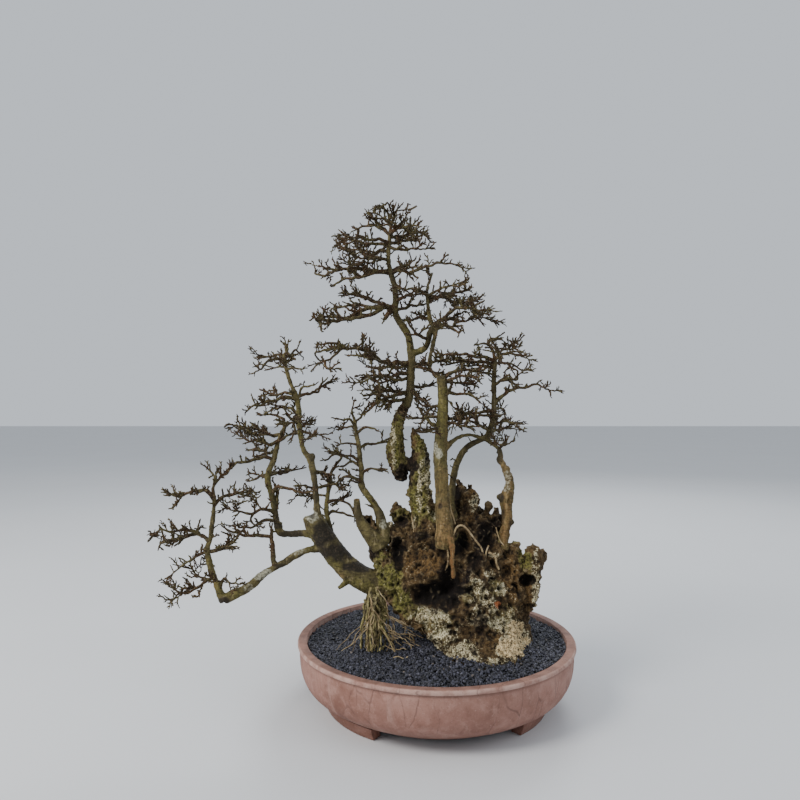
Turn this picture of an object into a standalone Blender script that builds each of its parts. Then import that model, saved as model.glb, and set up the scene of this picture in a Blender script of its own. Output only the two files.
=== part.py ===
"""A bonsai of craggy, many-stemmed deadwood with bare twigs, planted in a round clay pot.

All sizes are in metres. The pot stands on z = 0. The tree's outline is kept in millimetres, as a
drawing made from the tree's front: across from the pot's centre line, and up from the ground.
"""
import bmesh
import bpy
from math import cos, pi, radians, sin
from mathutils import Vector

for thing in list(bpy.data.objects):
    bpy.data.objects.remove(thing)

# Pot
RIM_RADIUS = 0.2265
POT_HEIGHT = 0.1025
FOOT_HEIGHT = 0.006
WALL = 0.013
FLOOR = 0.014
LIP_HEIGHT = 0.0075
BASE_RADIUS = 0.158         # of the flat underside, from which the wall sweeps out
FOOT_SPREAD = 47.0          # degrees of the circle that one foot takes
FOOT_RADIUS = 0.180         # outside of the feet where they stand
FOOT_WIDTH = 0.018
FOOT_ANGLES = (94.0, 214.0, 334.0)
HOLE_RADIUS = 0.019
HOLE_CIRCLE = 0.085         # distance of the drainage holes from the centre
HOLE_ANGLES = (30.0, 150.0, 270.0)

# Drainage and soil
GAP = 0.0003                # left between pieces that touch
SCREEN_SIZE = 0.056
SCREEN_THICKNESS = 0.0012
SCREEN_CELL = 0.0105
SCREEN_BAR = 0.0025
WIRE = 0.0016
GRAVEL_DEPTH = 0.016
SOIL_DROP = 0.008           # soil surface below the rim at the pot's wall
MOUND = 0.013               # height of the soil at the stump above its height at the wall

# Tree
TREE_HEIGHT = 0.709         # from the soil at the stump to the highest twig
TREE_SPREAD = 1.0           # sideways growth, as a share of the drawn tree's
DRAWN_HEIGHT = 0.709
DRAWN_SOIL = 107.5          # mm, height of the soil at the stump in the drawing
EYE = (-59.0, -1160.0, 491.0)   # mm, the point that the drawing is made from
ROOT_DEPTH = 0.024          # how far the stump reaches into the soil
THIN = 3.2                  # mm, limbs thinner than this at the foot are left out as twigs

# name: (parent limb or depth of the foot, depth of the tip, [(across, up, radius), ...])
LIMBS = {
    "left_log": (-30, -50, [
        (-80, 182, 24), (-110, 191, 21), (-138, 207, 19.5), (-161, 230, 19), (-182, 257, 19), (-198, 284, 18),
        (-206, 301, 15)]),
    "log_spur": ("left_log", -58, [
        (-140, 198, 7), (-152, 186, 5), (-161, 179, 3)]),
    "cascade": ("left_log", -80, [
        (-192, 246, 7.8), (-212, 242, 5.1), (-232, 234, 6.5), (-250, 222, 6), (-270, 212, 5.1), (-288, 200, 6.5),
        (-302, 187, 7.4), (-318, 176, 7.9), (-336, 168, 8.8), (-350, 161, 8.4)]),
    "cascade_riser": ("cascade", -72, [
        (-350, 160, 7.9), (-357, 170, 6.6), (-363, 187, 5.5), (-370, 206, 5.1), (-376, 226, 5.1),
        (-379, 243, 4.7), (-374, 258, 3.9), (-371, 277, 3.9), (-369, 297, 3.9), (-367, 317, 3.5),
        (-367, 332, 3.1)]),
    "left_elbow": ("left_log", -10, [
        (-198, 269, 8.2), (-220, 270, 5.9), (-241, 269, 5.5), (-257, 271, 6.3), (-262, 283, 6.3),
        (-265, 298, 5.2), (-268, 315, 5.2), (-271, 332, 5.2), (-276, 349, 5.2), (-278, 363, 5.2),
        (-274, 379, 4.8), (-267, 394, 4.4), (-264, 409, 4.1), (-261, 422, 3.7), (-256, 434, 3.7),
        (-250, 446, 3.3), (-244, 456, 3)]),
    "left_leader": ("left_log", -45, [
        (-196, 296, 8.4), (-197, 318, 5.2), (-199, 340, 5.2), (-201, 360, 5.2), (-204, 378, 5.6), (-206, 392, 6),
        (-207, 402, 4.8)]),
    "left_leader_top": ("left_leader", -35, [
        (-206, 386, 4.7), (-213, 398, 4.1), (-220, 412, 4.1), (-223, 426, 4.5), (-225, 441, 4.5),
        (-227, 456, 4.9), (-227, 471, 4.9), (-228, 486, 4.5), (-232, 499, 4.5), (-238, 513, 3.7),
        (-243, 527, 3.7), (-247, 541, 3.3), (-250, 556, 2.9), (-252, 568, 2)]),
    "inner_left": ("left_log", -5, [
        (-160, 236, 3.8), (-167, 252, 4.2), (-172, 270, 4.2), (-178, 290, 4.2), (-181, 307, 4.2),
        (-180, 326, 3.8), (-177, 345, 3.8), (-176, 362, 3.4)]),
    "small_tree": ("shoulder_ridge", -15, [
        (-94, 252, 11.5), (-84, 264, 11.4), (-89, 282, 9.7), (-92, 298, 7.9), (-98, 313, 6.2), (-107, 326, 5.7),
        (-116, 338, 5.7), (-122, 349, 5.7), (-123, 363, 4.4), (-123, 380, 4.4), (-126, 396, 4.4), (-127, 412, 4),
        (-130, 428, 4), (-133, 445, 3.5), (-135, 462, 2.6)]),
    "knob_stub": ("shoulder_ridge", -38, [
        (-92, 246, 15), (-106, 266, 14), (-120, 283, 10), (-127, 297, 7.5), (-130, 312, 6), (-131, 327, 5.5)]),
    "knob_hollow": ("shoulder_ridge", -30, [
        (-98, 262, 14), (-108, 281, 15), (-114, 297, 10)]),
    "shoulder_ridge": (-60, -28, [
        (-35, 132, 19), (-57, 160, 18), (-75, 190, 17), (-88, 215, 14), (-95, 240, 13), (-98, 262, 12)]),
    "spire": (-12, 5, [
        (-14, 240, 30), (-17, 285, 23), (-22, 325, 20), (-25, 360, 18), (-26, 392, 17), (-28, 414, 13),
        (-35, 432, 7), (-38, 447, 3)]),
    "hanging_trunk": (12, 12, [
        (-57, 359, 9), (-59, 374, 15), (-64, 392, 17), (-67, 410, 16), (-65, 429, 12.5), (-63, 447, 11.5),
        (-60, 461, 11), (-53, 475, 9), (-46, 488, 8)]),
    "trunk_bridge": ("hanging_trunk", 0, [
        (-58, 388, 12), (-42, 385, 11), (-28, 378, 12)]),
    "main_leader": ("hanging_trunk", 0, [
        (-50, 480, 8.2), (-44, 495, 7), (-42, 512, 7), (-41, 530, 7), (-40, 547, 7), (-40, 563, 6.6),
        (-42, 580, 6.2), (-45, 597, 5.7), (-53, 611, 6.2), (-62, 624, 5.7), (-67, 638, 5.3), (-66, 655, 5.3),
        (-67, 672, 4.8), (-70, 688, 4.8), (-75, 704, 4.4), (-78, 720, 4), (-78, 737, 4), (-77, 752, 3.5),
        (-76, 768, 3.1)]),
    "apex_right": ("main_leader", -10, [
        (-41, 568, 6), (-27, 572, 5.5), (-17, 578, 5), (-12, 590, 5), (-9, 603, 5), (-3, 614, 4.5), (5, 621, 4),
        (15, 627, 3.5)]),
    "straight_stem": ("apex_right", -10, [
        (3, 615, 3.5), (-1, 597, 3.5), (-5, 580, 3.5), (-9, 562, 3.5), (-11, 542, 3.5)]),
    "apex_stem": ("apex_right", -10, [
        (-4, 612, 4), (-9, 625, 4), (-12, 640, 3.5), (-13, 655, 3.5), (-15, 668, 3)]),
    "pole": (-62, -45, [
        (14, 245, 14.5), (15, 262, 16.5), (15, 280, 14.5), (12, 310, 13), (11, 340, 12), (9, 375, 11.5),
        (8, 400, 11.5), (9, 425, 11), (11, 450, 9.8), (12, 480, 9), (12, 505, 8.5), (10, 522, 8.5), (9, 531, 7)]),
    "right_arch": (-15, -25, [
        (30, 288, 10), (24, 320, 7.7), (28, 350, 6.2), (33, 378, 5.3), (41, 399, 5.3), (53, 414, 5.3),
        (66, 421, 4.8), (78, 426, 4.4), (86, 433, 4.4), (91, 445, 4.8), (95, 460, 4.8), (97, 478, 4.4),
        (97, 495, 4.4), (96, 512, 4.4), (97, 530, 4), (98, 548, 4), (98, 562, 3.5)]),
    "right_twist": (-30, -22, [
        (108, 245, 13), (112, 262, 10), (116, 278, 8.5), (119, 293, 9), (118, 308, 9.5), (117, 321, 10.5),
        (118, 333, 10.5), (122, 346, 8), (122, 359, 7), (118, 371, 6), (112, 382, 5.5), (107, 393, 5),
        (108, 404, 4), (102, 413, 3.5), (93, 419, 3.5), (83, 427, 3.5)]),
    "low_arch": ("pole", -22, [
        (14, 408, 5), (26, 421, 4.5), (38, 429, 3.5), (54, 433, 3), (68, 431, 3), (80, 426, 3.5)]),
    "horn": (-35, -48, [
        (138, 140, 18), (152, 165, 15), (157, 190, 15), (160, 215, 16), (163, 236, 13), (160, 252, 5)]),
    "horn_tip": ("horn", -50, [
        (160, 225, 12), (172, 232, 8), (180, 238, 5)]),
    "crag_a": (5, 10, [
        (40, 245, 34), (42, 295, 20), (42, 332, 14), (38, 360, 4)]),
    "crag_b": (-8, -5, [
        (52, 290, 18), (58, 328, 10), (56, 352, 4)]),
    "crag_c": (5, 10, [
        (74, 240, 30), (72, 285, 18), (74, 313, 6)]),
    "crag_d": (-12, -8, [
        (98, 225, 30), (100, 275, 17), (100, 314, 5)]),
    "crag_e": (-22, -26, [
        (118, 200, 26), (126, 235, 17), (132, 258, 8)]),
    "crag_f": (-6, 0, [
        (82, 280, 9), (85, 303, 5), (87, 318, 2.5)]),
    "left_peak": (-8, 0, [
        (-42, 275, 20), (-56, 297, 15), (-66, 310, 10), (-70, 318, 5)]),
    "grey_shard": (-30, -20, [
        (-62, 255, 14), (-76, 277, 10), (-84, 285, 5)]),
}

# name: (parent limb, depth of the tip, radius at the foot, radius at the tip, [(across, up), ...])
BRANCHES = {
    "riser_crown_left": ("cascade_riser", -105, 4.5, 2, [
        (-367, 328), (-378, 338), (-392, 341), (-410, 338), (-428, 331), (-440, 337)]),
    "riser_crown_right": ("cascade_riser", -40, 4, 2, [
        (-367, 318), (-358, 327), (-345, 333), (-330, 335), (-316, 334), (-307, 330)]),
    "riser_crown_top": ("cascade_riser", -65, 3, 1.8, [
        (-367, 330), (-368, 345), (-365, 358), (-370, 370), (-377, 378)]),
    "riser_crown_top2": ("riser_crown_top", -50, 2.5, 1.8, [
        (-366, 352), (-357, 362), (-356, 376)]),
    "riser_crown_link": ("riser_crown_top2", -45, 2.2, 1.6, [
        (-357, 366), (-345, 370), (-338, 380)]),
    "riser_left_mid": ("cascade_riser", -50, 4, 2, [
        (-375, 256), (-386, 266), (-400, 270), (-416, 266), (-434, 261), (-450, 257), (-459, 248)]),
    "riser_left_up": ("riser_left_mid", -95, 3, 1.8, [
        (-392, 270), (-405, 276), (-422, 274), (-440, 272), (-456, 277), (-466, 268)]),
    "riser_left_low": ("cascade_riser", -100, 3, 1.5, [
        (-378, 241), (-395, 232), (-412, 222), (-426, 211), (-440, 201)]),
    "riser_bottom": ("cascade_riser", -115, 3, 1.8, [
        (-367, 196), (-382, 190), (-394, 181), (-410, 172), (-425, 170), (-436, 160)]),
    "riser_bottom_up": ("riser_bottom", -60, 2.5, 1.6, [
        (-374, 194), (-388, 195), (-397, 203), (-405, 210)]),
    "riser_spur_right": ("cascade_riser", -95, 3, 1.5, [
        (-358, 178), (-352, 195), (-342, 188), (-325, 187)]),
    "riser_right": ("cascade_riser", -90, 4, 2, [
        (-378, 240), (-364, 241), (-352, 246), (-340, 252), (-330, 262)]),
    "cascade_stem": ("cascade", -60, 5, 3.5, [
        (-266, 218), (-271, 232), (-271, 248), (-272, 263), (-272, 277)]),
    "cascade_stem_left": ("cascade_stem", -85, 3.5, 2, [
        (-272, 264), (-288, 267), (-305, 266), (-322, 268), (-338, 272), (-350, 280)]),
    "elbow_low_left": ("left_elbow", -75, 3.5, 2, [
        (-266, 302), (-275, 309), (-290, 309), (-305, 303), (-318, 304), (-328, 309)]),
    "elbow_low_left2": ("elbow_low_left", -60, 2.5, 1.8, [
        (-302, 304), (-306, 292), (-296, 283)]),
    "elbow_low_fork": ("left_elbow", -65, 3.5, 2, [
        (-256, 285), (-270, 292), (-284, 292), (-294, 286), (-306, 280), (-325, 278)]),
    "elbow_right": ("left_elbow", -60, 3.5, 2, [
        (-272, 335), (-262, 346), (-250, 346), (-236, 342), (-222, 338), (-208, 338)]),
    "elbow_right_stem": ("left_elbow", -18, 4, 3, [
        (-264, 310), (-264, 325), (-263, 340), (-266, 352)]),
    "elbow_right_up": ("left_elbow", 25, 3, 2, [
        (-275, 366), (-264, 370), (-252, 369), (-242, 373), (-236, 378)]),
    "elbow_left_mid": ("left_elbow", 20, 3, 1.8, [
        (-278, 360), (-288, 366), (-298, 360), (-308, 356)]),
    "elbow_long_left": ("left_elbow", -50, 3.5, 2, [
        (-268, 391), (-280, 396), (-296, 392), (-314, 388), (-330, 387), (-338, 378), (-347, 371)]),
    "elbow_mid_left": ("left_elbow", 35, 3, 2, [
        (-264, 408), (-274, 402), (-285, 405), (-297, 408), (-308, 409)]),
    "elbow_upper_left": ("left_elbow", -40, 3.5, 2, [
        (-260, 424), (-272, 418), (-284, 420), (-296, 423), (-307, 421)]),
    "elbow_top_left": ("left_elbow", 25, 3.5, 2, [
        (-256, 433), (-270, 433), (-284, 435), (-298, 434), (-309, 438), (-319, 441)]),
    "elbow_top_back": ("left_elbow", 20, 3, 1.8, [
        (-250, 446), (-252, 458), (-262, 464), (-275, 467), (-288, 465)]),
    "elbow_link": ("left_elbow", -30, 3, 2, [
        (-262, 421), (-250, 430), (-240, 434), (-230, 434)]),
    "leader_left": ("left_leader_top", -75, 4, 2, [
        (-230, 492), (-243, 495), (-256, 495), (-268, 489), (-280, 487), (-292, 481), (-303, 480), (-312, 473)]),
    "leader_left_up": ("left_leader_top", 10, 3, 1.8, [
        (-236, 500), (-248, 504), (-262, 500), (-275, 502), (-285, 498)]),
    "leader_right": ("left_leader_top", 10, 3.5, 2, [
        (-231, 494), (-220, 500), (-208, 502), (-196, 505), (-190, 512)]),
    "leader_right_up": ("left_leader_top", -60, 2.5, 1.8, [
        (-226, 497), (-222, 510), (-210, 514), (-202, 515)]),
    "leader_low_left": ("left_leader_top", 5, 3, 1.8, [
        (-228, 468), (-240, 477), (-252, 479), (-265, 478), (-280, 470)]),
    "leader_knot_left": ("left_leader_top", -70, 3, 1.8, [
        (-227, 452), (-238, 457), (-246, 466), (-250, 475)]),
    "leader_low_right": ("left_leader_top", -75, 3, 1.8, [
        (-224, 440), (-214, 438), (-206, 434), (-198, 432)]),
    "leader_low_right2": ("left_leader_top", -5, 2.5, 1.6, [
        (-225, 448), (-215, 452), (-207, 451)]),
    "leader_crown_left": ("left_leader_top", -65, 3, 1.8, [
        (-249, 548), (-258, 558), (-272, 557), (-282, 551), (-290, 542), (-295, 546)]),
    "leader_crown_mid": ("left_leader_top", 0, 2.8, 1.8, [
        (-250, 556), (-262, 566), (-274, 562), (-288, 563)]),
    "leader_crown_up": ("left_leader_top", -20, 2.5, 1.8, [
        (-251, 565), (-246, 575), (-248, 583)]),
    "leader_crown_right": ("left_leader_top", 0, 2.5, 1.8, [
        (-250, 560), (-240, 566), (-233, 574), (-226, 568)]),
    "leader_crown_low": ("left_leader_top", -60, 2.5, 1.6, [
        (-247, 541), (-238, 544), (-226, 542)]),
    "leader_crown_low_left": ("left_leader_top", 5, 2.5, 1.6, [
        (-248, 545), (-258, 546), (-268, 543)]),
    "inner_leader_link": ("left_leader", -12, 4, 3, [
        (-204, 374), (-195, 372), (-186, 370), (-177, 364)]),
    "inner_up": ("inner_left", 15, 3, 1.8, [
        (-176, 362), (-170, 376), (-162, 386), (-157, 397), (-168, 401), (-178, 393)]),
    "inner_left_low": ("inner_left", -45, 3, 1.8, [
        (-177, 350), (-190, 347), (-203, 345), (-216, 349), (-226, 350)]),
    "inner_left_low2": ("inner_left", 20, 2.5, 1.6, [
        (-180, 332), (-192, 334), (-206, 334), (-214, 325)]),
    "inner_right": ("inner_left", -35, 2.8, 1.8, [
        (-177, 347), (-168, 352), (-160, 345), (-152, 342)]),
    "hoop_low": ("inner_left", -28, 3, 2, [
        (-180, 298), (-172, 306), (-158, 305), (-145, 302), (-136, 299)]),
    "hoop_high": ("inner_left", -28, 3, 2, [
        (-181, 320), (-170, 325), (-157, 324), (-146, 320), (-138, 311), (-136, 303)]),
    "small_low_left": ("small_tree", -55, 3.5, 2, [
        (-122, 349), (-130, 360), (-142, 363), (-154, 362), (-166, 352), (-175, 350)]),
    "small_low_left2": ("small_tree", 25, 3, 1.8, [
        (-124, 380), (-138, 389), (-150, 383), (-162, 380)]),
    "small_mid_left": ("small_tree", -45, 3, 1.8, [
        (-126, 390), (-138, 398), (-150, 398), (-164, 400)]),
    "small_left_thin": ("small_tree", -35, 2.2, 1.5, [
        (-128, 417), (-144, 419), (-160, 418)]),
    "small_right": ("small_tree", 20, 3, 1.8, [
        (-127, 410), (-118, 416), (-106, 418), (-94, 418), (-84, 420)]),
    "small_low_right": ("small_tree", -40, 2.8, 1.8, [
        (-123, 370), (-112, 376), (-100, 377), (-88, 377)]),
    "small_top_left": ("small_tree", -45, 2.8, 1.6, [
        (-133, 448), (-142, 458), (-152, 459), (-160, 460)]),
    "small_top_left2": ("small_tree", 15, 2.5, 1.6, [
        (-131, 440), (-142, 447), (-156, 447)]),
    "small_top_right": ("small_tree", -40, 2.8, 1.8, [
        (-130, 436), (-120, 444), (-108, 445), (-98, 440)]),
    "small_top_up": ("small_tree", -5, 2.5, 1.6, [
        (-134, 455), (-124, 462), (-117, 474), (-110, 480)]),
    "small_tip": ("small_tree", -20, 2.5, 1.6, [
        (-135, 460), (-138, 472), (-136, 486)]),
    "apex_tip": ("main_leader", 5, 3.2, 1.8, [
        (-76, 766), (-74, 780), (-78, 794), (-84, 804), (-93, 811)]),
    "apex_tip2": ("apex_tip", -25, 2.8, 1.8, [
        (-75, 782), (-68, 796), (-64, 808)]),
    "apex_right_up": ("main_leader", -35, 3, 1.8, [
        (-76, 764), (-64, 776), (-55, 787), (-47, 798)]),
    "apex_right_mid": ("main_leader", 45, 3, 1.8, [
        (-76, 760), (-60, 762), (-45, 764), (-30, 768), (-14, 762)]),
    "apex_right_far": ("main_leader", -50, 2.8, 1.8, [
        (-76, 770), (-58, 776), (-42, 779), (-28, 782)]),
    "apex_right_low": ("main_leader", -40, 3, 1.8, [
        (-78, 745), (-64, 740), (-50, 740), (-36, 742), (-24, 746)]),
    "apex_right_low2": ("main_leader", 55, 3, 1.8, [
        (-77, 752), (-60, 753), (-44, 756), (-30, 755)]),
    "apex_left_up": ("main_leader", 45, 3.2, 1.8, [
        (-76, 764), (-90, 776), (-105, 780), (-118, 779), (-130, 775)]),
    "apex_left_mid": ("main_leader", -50, 3.2, 1.8, [
        (-77, 752), (-92, 757), (-110, 757), (-126, 762), (-140, 752), (-152, 752)]),
    "apex_left_far": ("main_leader", 20, 3.2, 1.8, [
        (-77, 748), (-95, 750), (-114, 750), (-132, 754), (-148, 757), (-160, 750)]),
    "apex_left_low": ("main_leader", 55, 3.2, 1.8, [
        (-78, 738), (-92, 738), (-104, 731), (-116, 738), (-134, 740), (-152, 741)]),
    "apex_left_low2": ("main_leader", -60, 3, 1.8, [
        (-78, 722), (-92, 726), (-106, 724), (-120, 726), (-136, 728)]),
    "top_left_long": ("main_leader", -40, 4.5, 2, [
        (-74, 702), (-90, 704), (-106, 705), (-124, 709), (-142, 709), (-160, 708), (-176, 708), (-188, 713)]),
    "top_left_hook": ("top_left_long", 40, 3, 2, [
        (-156, 708), (-172, 703), (-184, 697), (-197, 699), (-198, 704)]),
    "top_left_low": ("main_leader", 50, 4, 2, [
        (-78, 705), (-94, 703), (-110, 699), (-128, 694), (-146, 692), (-160, 688), (-169, 682)]),
    "top_left_fill": ("top_left_long", -75, 3, 1.8, [
        (-108, 704), (-124, 716), (-140, 716), (-154, 724)]),
    "top_right_low": ("main_leader", -30, 4, 2, [
        (-72, 702), (-60, 706), (-48, 704), (-38, 700), (-33, 694)]),
    "top_right_long": ("top_right_low", -60, 3, 1.8, [
        (-42, 702), (-26, 708), (-12, 714), (4, 717), (20, 717), (37, 716)]),
    "top_right_back": ("main_leader", 55, 3, 1.8, [
        (-72, 705), (-58, 712), (-44, 716), (-34, 724)]),
    "second_left": ("main_leader", -45, 5.5, 2.2, [
        (-66, 645), (-80, 645), (-94, 643), (-108, 644), (-122, 640), (-136, 633), (-152, 627), (-168, 629),
        (-186, 630)]),
    "second_left_up": ("second_left", 50, 4, 2, [
        (-84, 646), (-98, 653), (-112, 659), (-126, 664), (-140, 667), (-152, 664)]),
    "second_left_low": ("second_left", -75, 4, 2, [
        (-90, 642), (-104, 634), (-120, 630), (-140, 625), (-160, 622), (-180, 619), (-196, 621), (-199, 627)]),
    "second_left_stub": ("main_leader", -15, 5, 3.5, [
        (-72, 640), (-80, 632), (-84, 624)]),
    "second_left_mid": ("second_left", 20, 3, 1.8, [
        (-112, 645), (-126, 648), (-142, 648), (-158, 645), (-168, 649)]),
    "second_right": ("main_leader", -35, 3.5, 2, [
        (-66, 655), (-54, 661), (-44, 665), (-36, 672)]),
    "second_right_low": ("main_leader", 35, 3, 2, [
        (-66, 640), (-52, 643), (-38, 647), (-24, 648), (-14, 650)]),
    "twin_crown_left": ("apex_stem", -50, 3, 1.8, [
        (-14, 664), (-26, 672), (-40, 674), (-56, 674)]),
    "twin_crown_up": ("apex_stem", 25, 3, 1.8, [
        (-15, 668), (-12, 682), (-8, 695), (-12, 704)]),
    "twin_crown_mid": ("apex_stem", -60, 3, 1.8, [
        (-14, 662), (0, 672), (14, 678), (28, 680), (42, 680)]),
    "twin_crown_right": ("apex_stem", 40, 3, 1.8, [
        (-13, 660), (4, 664), (22, 668), (38, 670), (54, 674)]),
    "twin_right": ("apex_right", -45, 3.5, 2, [
        (14, 626), (24, 636), (36, 644), (50, 643), (66, 640), (84, 638)]),
    "twin_right_up": ("apex_stem", 35, 3, 1.8, [
        (-10, 655), (6, 662), (22, 658), (38, 653), (52, 654)]),
    "twin_right_low": ("apex_right", 30, 3, 1.8, [
        (10, 623), (24, 625), (40, 622), (54, 622), (68, 630), (76, 620)]),
    "twin_right_low2": ("apex_right", -65, 3, 1.8, [
        (4, 616), (18, 614), (30, 608), (38, 602)]),
    "twin_left": ("apex_right", -35, 3.2, 2, [
        (-12, 592), (-24, 596), (-34, 603), (-42, 613), (-48, 622)]),
    "twin_left_up": ("apex_stem", 35, 3, 1.8, [
        (-8, 622), (-18, 627), (-30, 628), (-42, 622)]),
    "third_left": ("main_leader", -45, 5, 2.2, [
        (-42, 552), (-58, 553), (-74, 553), (-90, 556), (-100, 566), (-112, 572), (-126, 575), (-140, 577),
        (-152, 579)]),
    "third_left_end": ("third_left", -60, 2.8, 1.8, [
        (-150, 579), (-164, 584), (-178, 585), (-190, 584)]),
    "third_left_drop": ("third_left", -75, 2.8, 1.8, [
        (-152, 578), (-163, 570), (-172, 560), (-186, 556), (-196, 550)]),
    "third_left_drop2": ("third_left_end", -20, 2.6, 1.8, [
        (-157, 581), (-176, 574), (-190, 572), (-200, 568), (-192, 556)]),
    "third_left_foot": ("third_left_drop", -85, 2.4, 1.8, [
        (-184, 556), (-182, 546), (-174, 543), (-168, 548)]),
    "third_left_fill": ("third_left", 25, 3, 1.8, [
        (-98, 562), (-112, 562), (-126, 564), (-142, 566)]),
    "third_left_back": ("main_leader", 60, 3.5, 1.8, [
        (-44, 548), (-62, 545), (-80, 546), (-96, 544), (-108, 546)]),
    "fourth_left": ("main_leader", -60, 4, 2, [
        (-44, 535), (-60, 534), (-76, 530), (-92, 530), (-106, 527), (-120, 522)]),
    "fourth_left_up": ("main_leader", 45, 3.2, 1.8, [
        (-44, 528), (-58, 524), (-74, 524), (-90, 520), (-104, 522)]),
    "fifth_left": ("main_leader", -55, 4, 2, [
        (-46, 505), (-62, 500), (-78, 495), (-92, 491), (-104, 481), (-112, 474), (-120, 466)]),
    "fifth_left_back": ("main_leader", 60, 3.5, 1.8, [
        (-46, 500), (-62, 505), (-78, 507), (-94, 505)]),
    "fifth_left_low": ("main_leader", -20, 3.2, 1.8, [
        (-48, 492), (-64, 491), (-80, 489), (-96, 492)]),
    "fifth_front": ("main_leader", -50, 3.5, 2, [
        (-42, 508), (-34, 500), (-26, 492), (-16, 490)]),
    "fifth_right": ("main_leader", 45, 3.5, 1.8, [
        (-41, 516), (-28, 512), (-16, 514), (-6, 516)]),
    "fourth_right": ("main_leader", -30, 3.5, 2, [
        (-40, 545), (-26, 545), (-12, 541), (0, 536), (8, 530)]),
    "third_right": ("main_leader", 50, 3.5, 2, [
        (-40, 552), (-26, 550), (-12, 553), (4, 555), (18, 556)]),
    "pole_left_limb": ("pole", -15, 4.5, 2.2, [
        (8, 446), (-4, 451), (-14, 460), (-22, 470), (-30, 478)]),
    "pole_left_limb2": ("pole", -75, 3, 1.8, [
        (6, 444), (-8, 441), (-22, 438), (-32, 440)]),
    "pole_left_limb3": ("pole", -70, 3, 1.8, [
        (8, 464), (-6, 463), (-20, 461), (-36, 462)]),
    "pole_left_limb4": ("pole", -10, 3, 1.8, [
        (8, 480), (-6, 482), (-20, 482), (-30, 488)]),
    "pole_top_right": ("pole", -30, 3.5, 2.2, [
        (12, 524), (22, 534), (36, 539), (52, 540), (68, 538), (84, 536), (96, 532)]),
    "pole_top_left": ("pole", -20, 3, 2, [
        (8, 526), (-2, 533), (-8, 542), (-11, 550)]),
    "pole_right_a": ("pole", -75, 3, 1.8, [
        (14, 522), (30, 527), (46, 531), (58, 530), (70, 528)]),
    "pole_right_b": ("pole", -5, 2.6, 1.6, [
        (14, 520), (30, 520), (46, 518), (64, 517)]),
    "pole_right_c": ("pole", -70, 3.2, 1.8, [
        (14, 504), (28, 502), (42, 500), (56, 500), (68, 494)]),
    "pole_right_d": ("pole", -15, 3, 1.8, [
        (14, 458), (28, 461), (42, 462), (56, 460)]),
    "pole_right_e": ("pole", -70, 3, 1.8, [
        (14, 452), (28, 452), (42, 448), (56, 447)]),
    "right_top": ("right_arch", -20, 3, 1.8, [
        (98, 560), (94, 574), (88, 583), (90, 592), (99, 592)]),
    "right_top_left": ("right_top", -40, 2.4, 1.6, [
        (90, 582), (80, 584), (68, 583)]),
    "right_upper_right": ("right_arch", -70, 3.2, 1.8, [
        (98, 558), (110, 566), (122, 570), (134, 566), (146, 564)]),
    "right_upper_right_up": ("right_upper_right", 20, 2.6, 1.8, [
        (104, 564), (112, 574), (122, 578), (128, 584)]),
    "right_upper_low": ("right_arch", 25, 2.8, 1.8, [
        (97, 552), (110, 552), (122, 552), (132, 548), (140, 542)]),
    "right_hook": ("right_arch", -65, 3, 1.8, [
        (97, 516), (108, 522), (122, 525), (134, 526), (135, 538), (128, 544)]),
    "right_long": ("right_arch", -55, 3.8, 1.8, [
        (98, 484), (106, 494), (118, 504), (132, 509), (148, 511), (160, 516), (170, 516), (182, 511)]),
    "right_left_top": ("right_arch", -70, 3.5, 1.8, [
        (97, 556), (82, 562), (66, 562), (50, 566), (34, 566), (18, 566), (6, 568)]),
    "right_left_top2": ("right_arch", 35, 3.5, 1.8, [
        (97, 550), (80, 554), (62, 554), (44, 556), (28, 553), (12, 556)]),
    "right_left_top3": ("right_arch", 5, 3, 1.8, [
        (96, 545), (82, 547), (66, 548), (50, 546)]),
    "right_left_mid": ("right_arch", -60, 3, 1.8, [
        (97, 474), (82, 472), (66, 469), (50, 469), (38, 474), (28, 482)]),
    "right_left_low": ("right_arch", 25, 3, 1.8, [
        (95, 460), (82, 466), (68, 464), (54, 460)]),
    "right_left_low2": ("right_arch", -65, 3, 1.8, [
        (90, 440), (78, 446), (66, 452), (54, 456), (42, 452)]),
    "right_low_right": ("right_arch", -65, 2.8, 1.8, [
        (93, 450), (106, 453), (118, 456), (130, 452), (138, 446)]),
    "right_low_right2": ("right_arch", 25, 2.6, 1.6, [
        (90, 436), (102, 441), (114, 444), (122, 446)]),
    "right_mid_right": ("right_arch", 20, 2.5, 1.6, [
        (97, 474), (108, 478), (116, 474)]),
    "twist_top": ("right_twist", -45, 2.6, 1.6, [
        (104, 410), (112, 416), (118, 426)]),
}

# name: (depth at the foot, depth at the tip, radius at the foot, radius at the tip, [(across, up), ...])
ROOTS = {
    "hanging_root_1": (-40, -62, 7, 3, [
        (-102, 180), (-106, 157), (-109, 134), (-112, 110), (-113, 86), (-113, 62)]),
    "hanging_root_2": (-45, -68, 6, 3, [
        (-96, 176), (-98, 152), (-100, 130), (-102, 106), (-104, 82), (-104, 58)]),
    "hanging_root_3": (-50, -72, 6, 3, [
        (-90, 172), (-91, 150), (-91, 128), (-93, 106), (-95, 82), (-95, 56)]),
    "hanging_root_4": (-35, -50, 5, 2.5, [
        (-107, 184), (-114, 162), (-118, 140), (-121, 118), (-123, 96), (-123, 70)]),
    "hanging_root_5": (-52, -60, 5, 2.5, [
        (-84, 168), (-84, 148), (-83, 130), (-84, 110), (-86, 88), (-86, 66)]),
    "back_root": (-5, 0, 14, 11, [
        (-92, 185), (-104, 160), (-106, 135), (-100, 110), (-96, 80)]),
}

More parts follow.
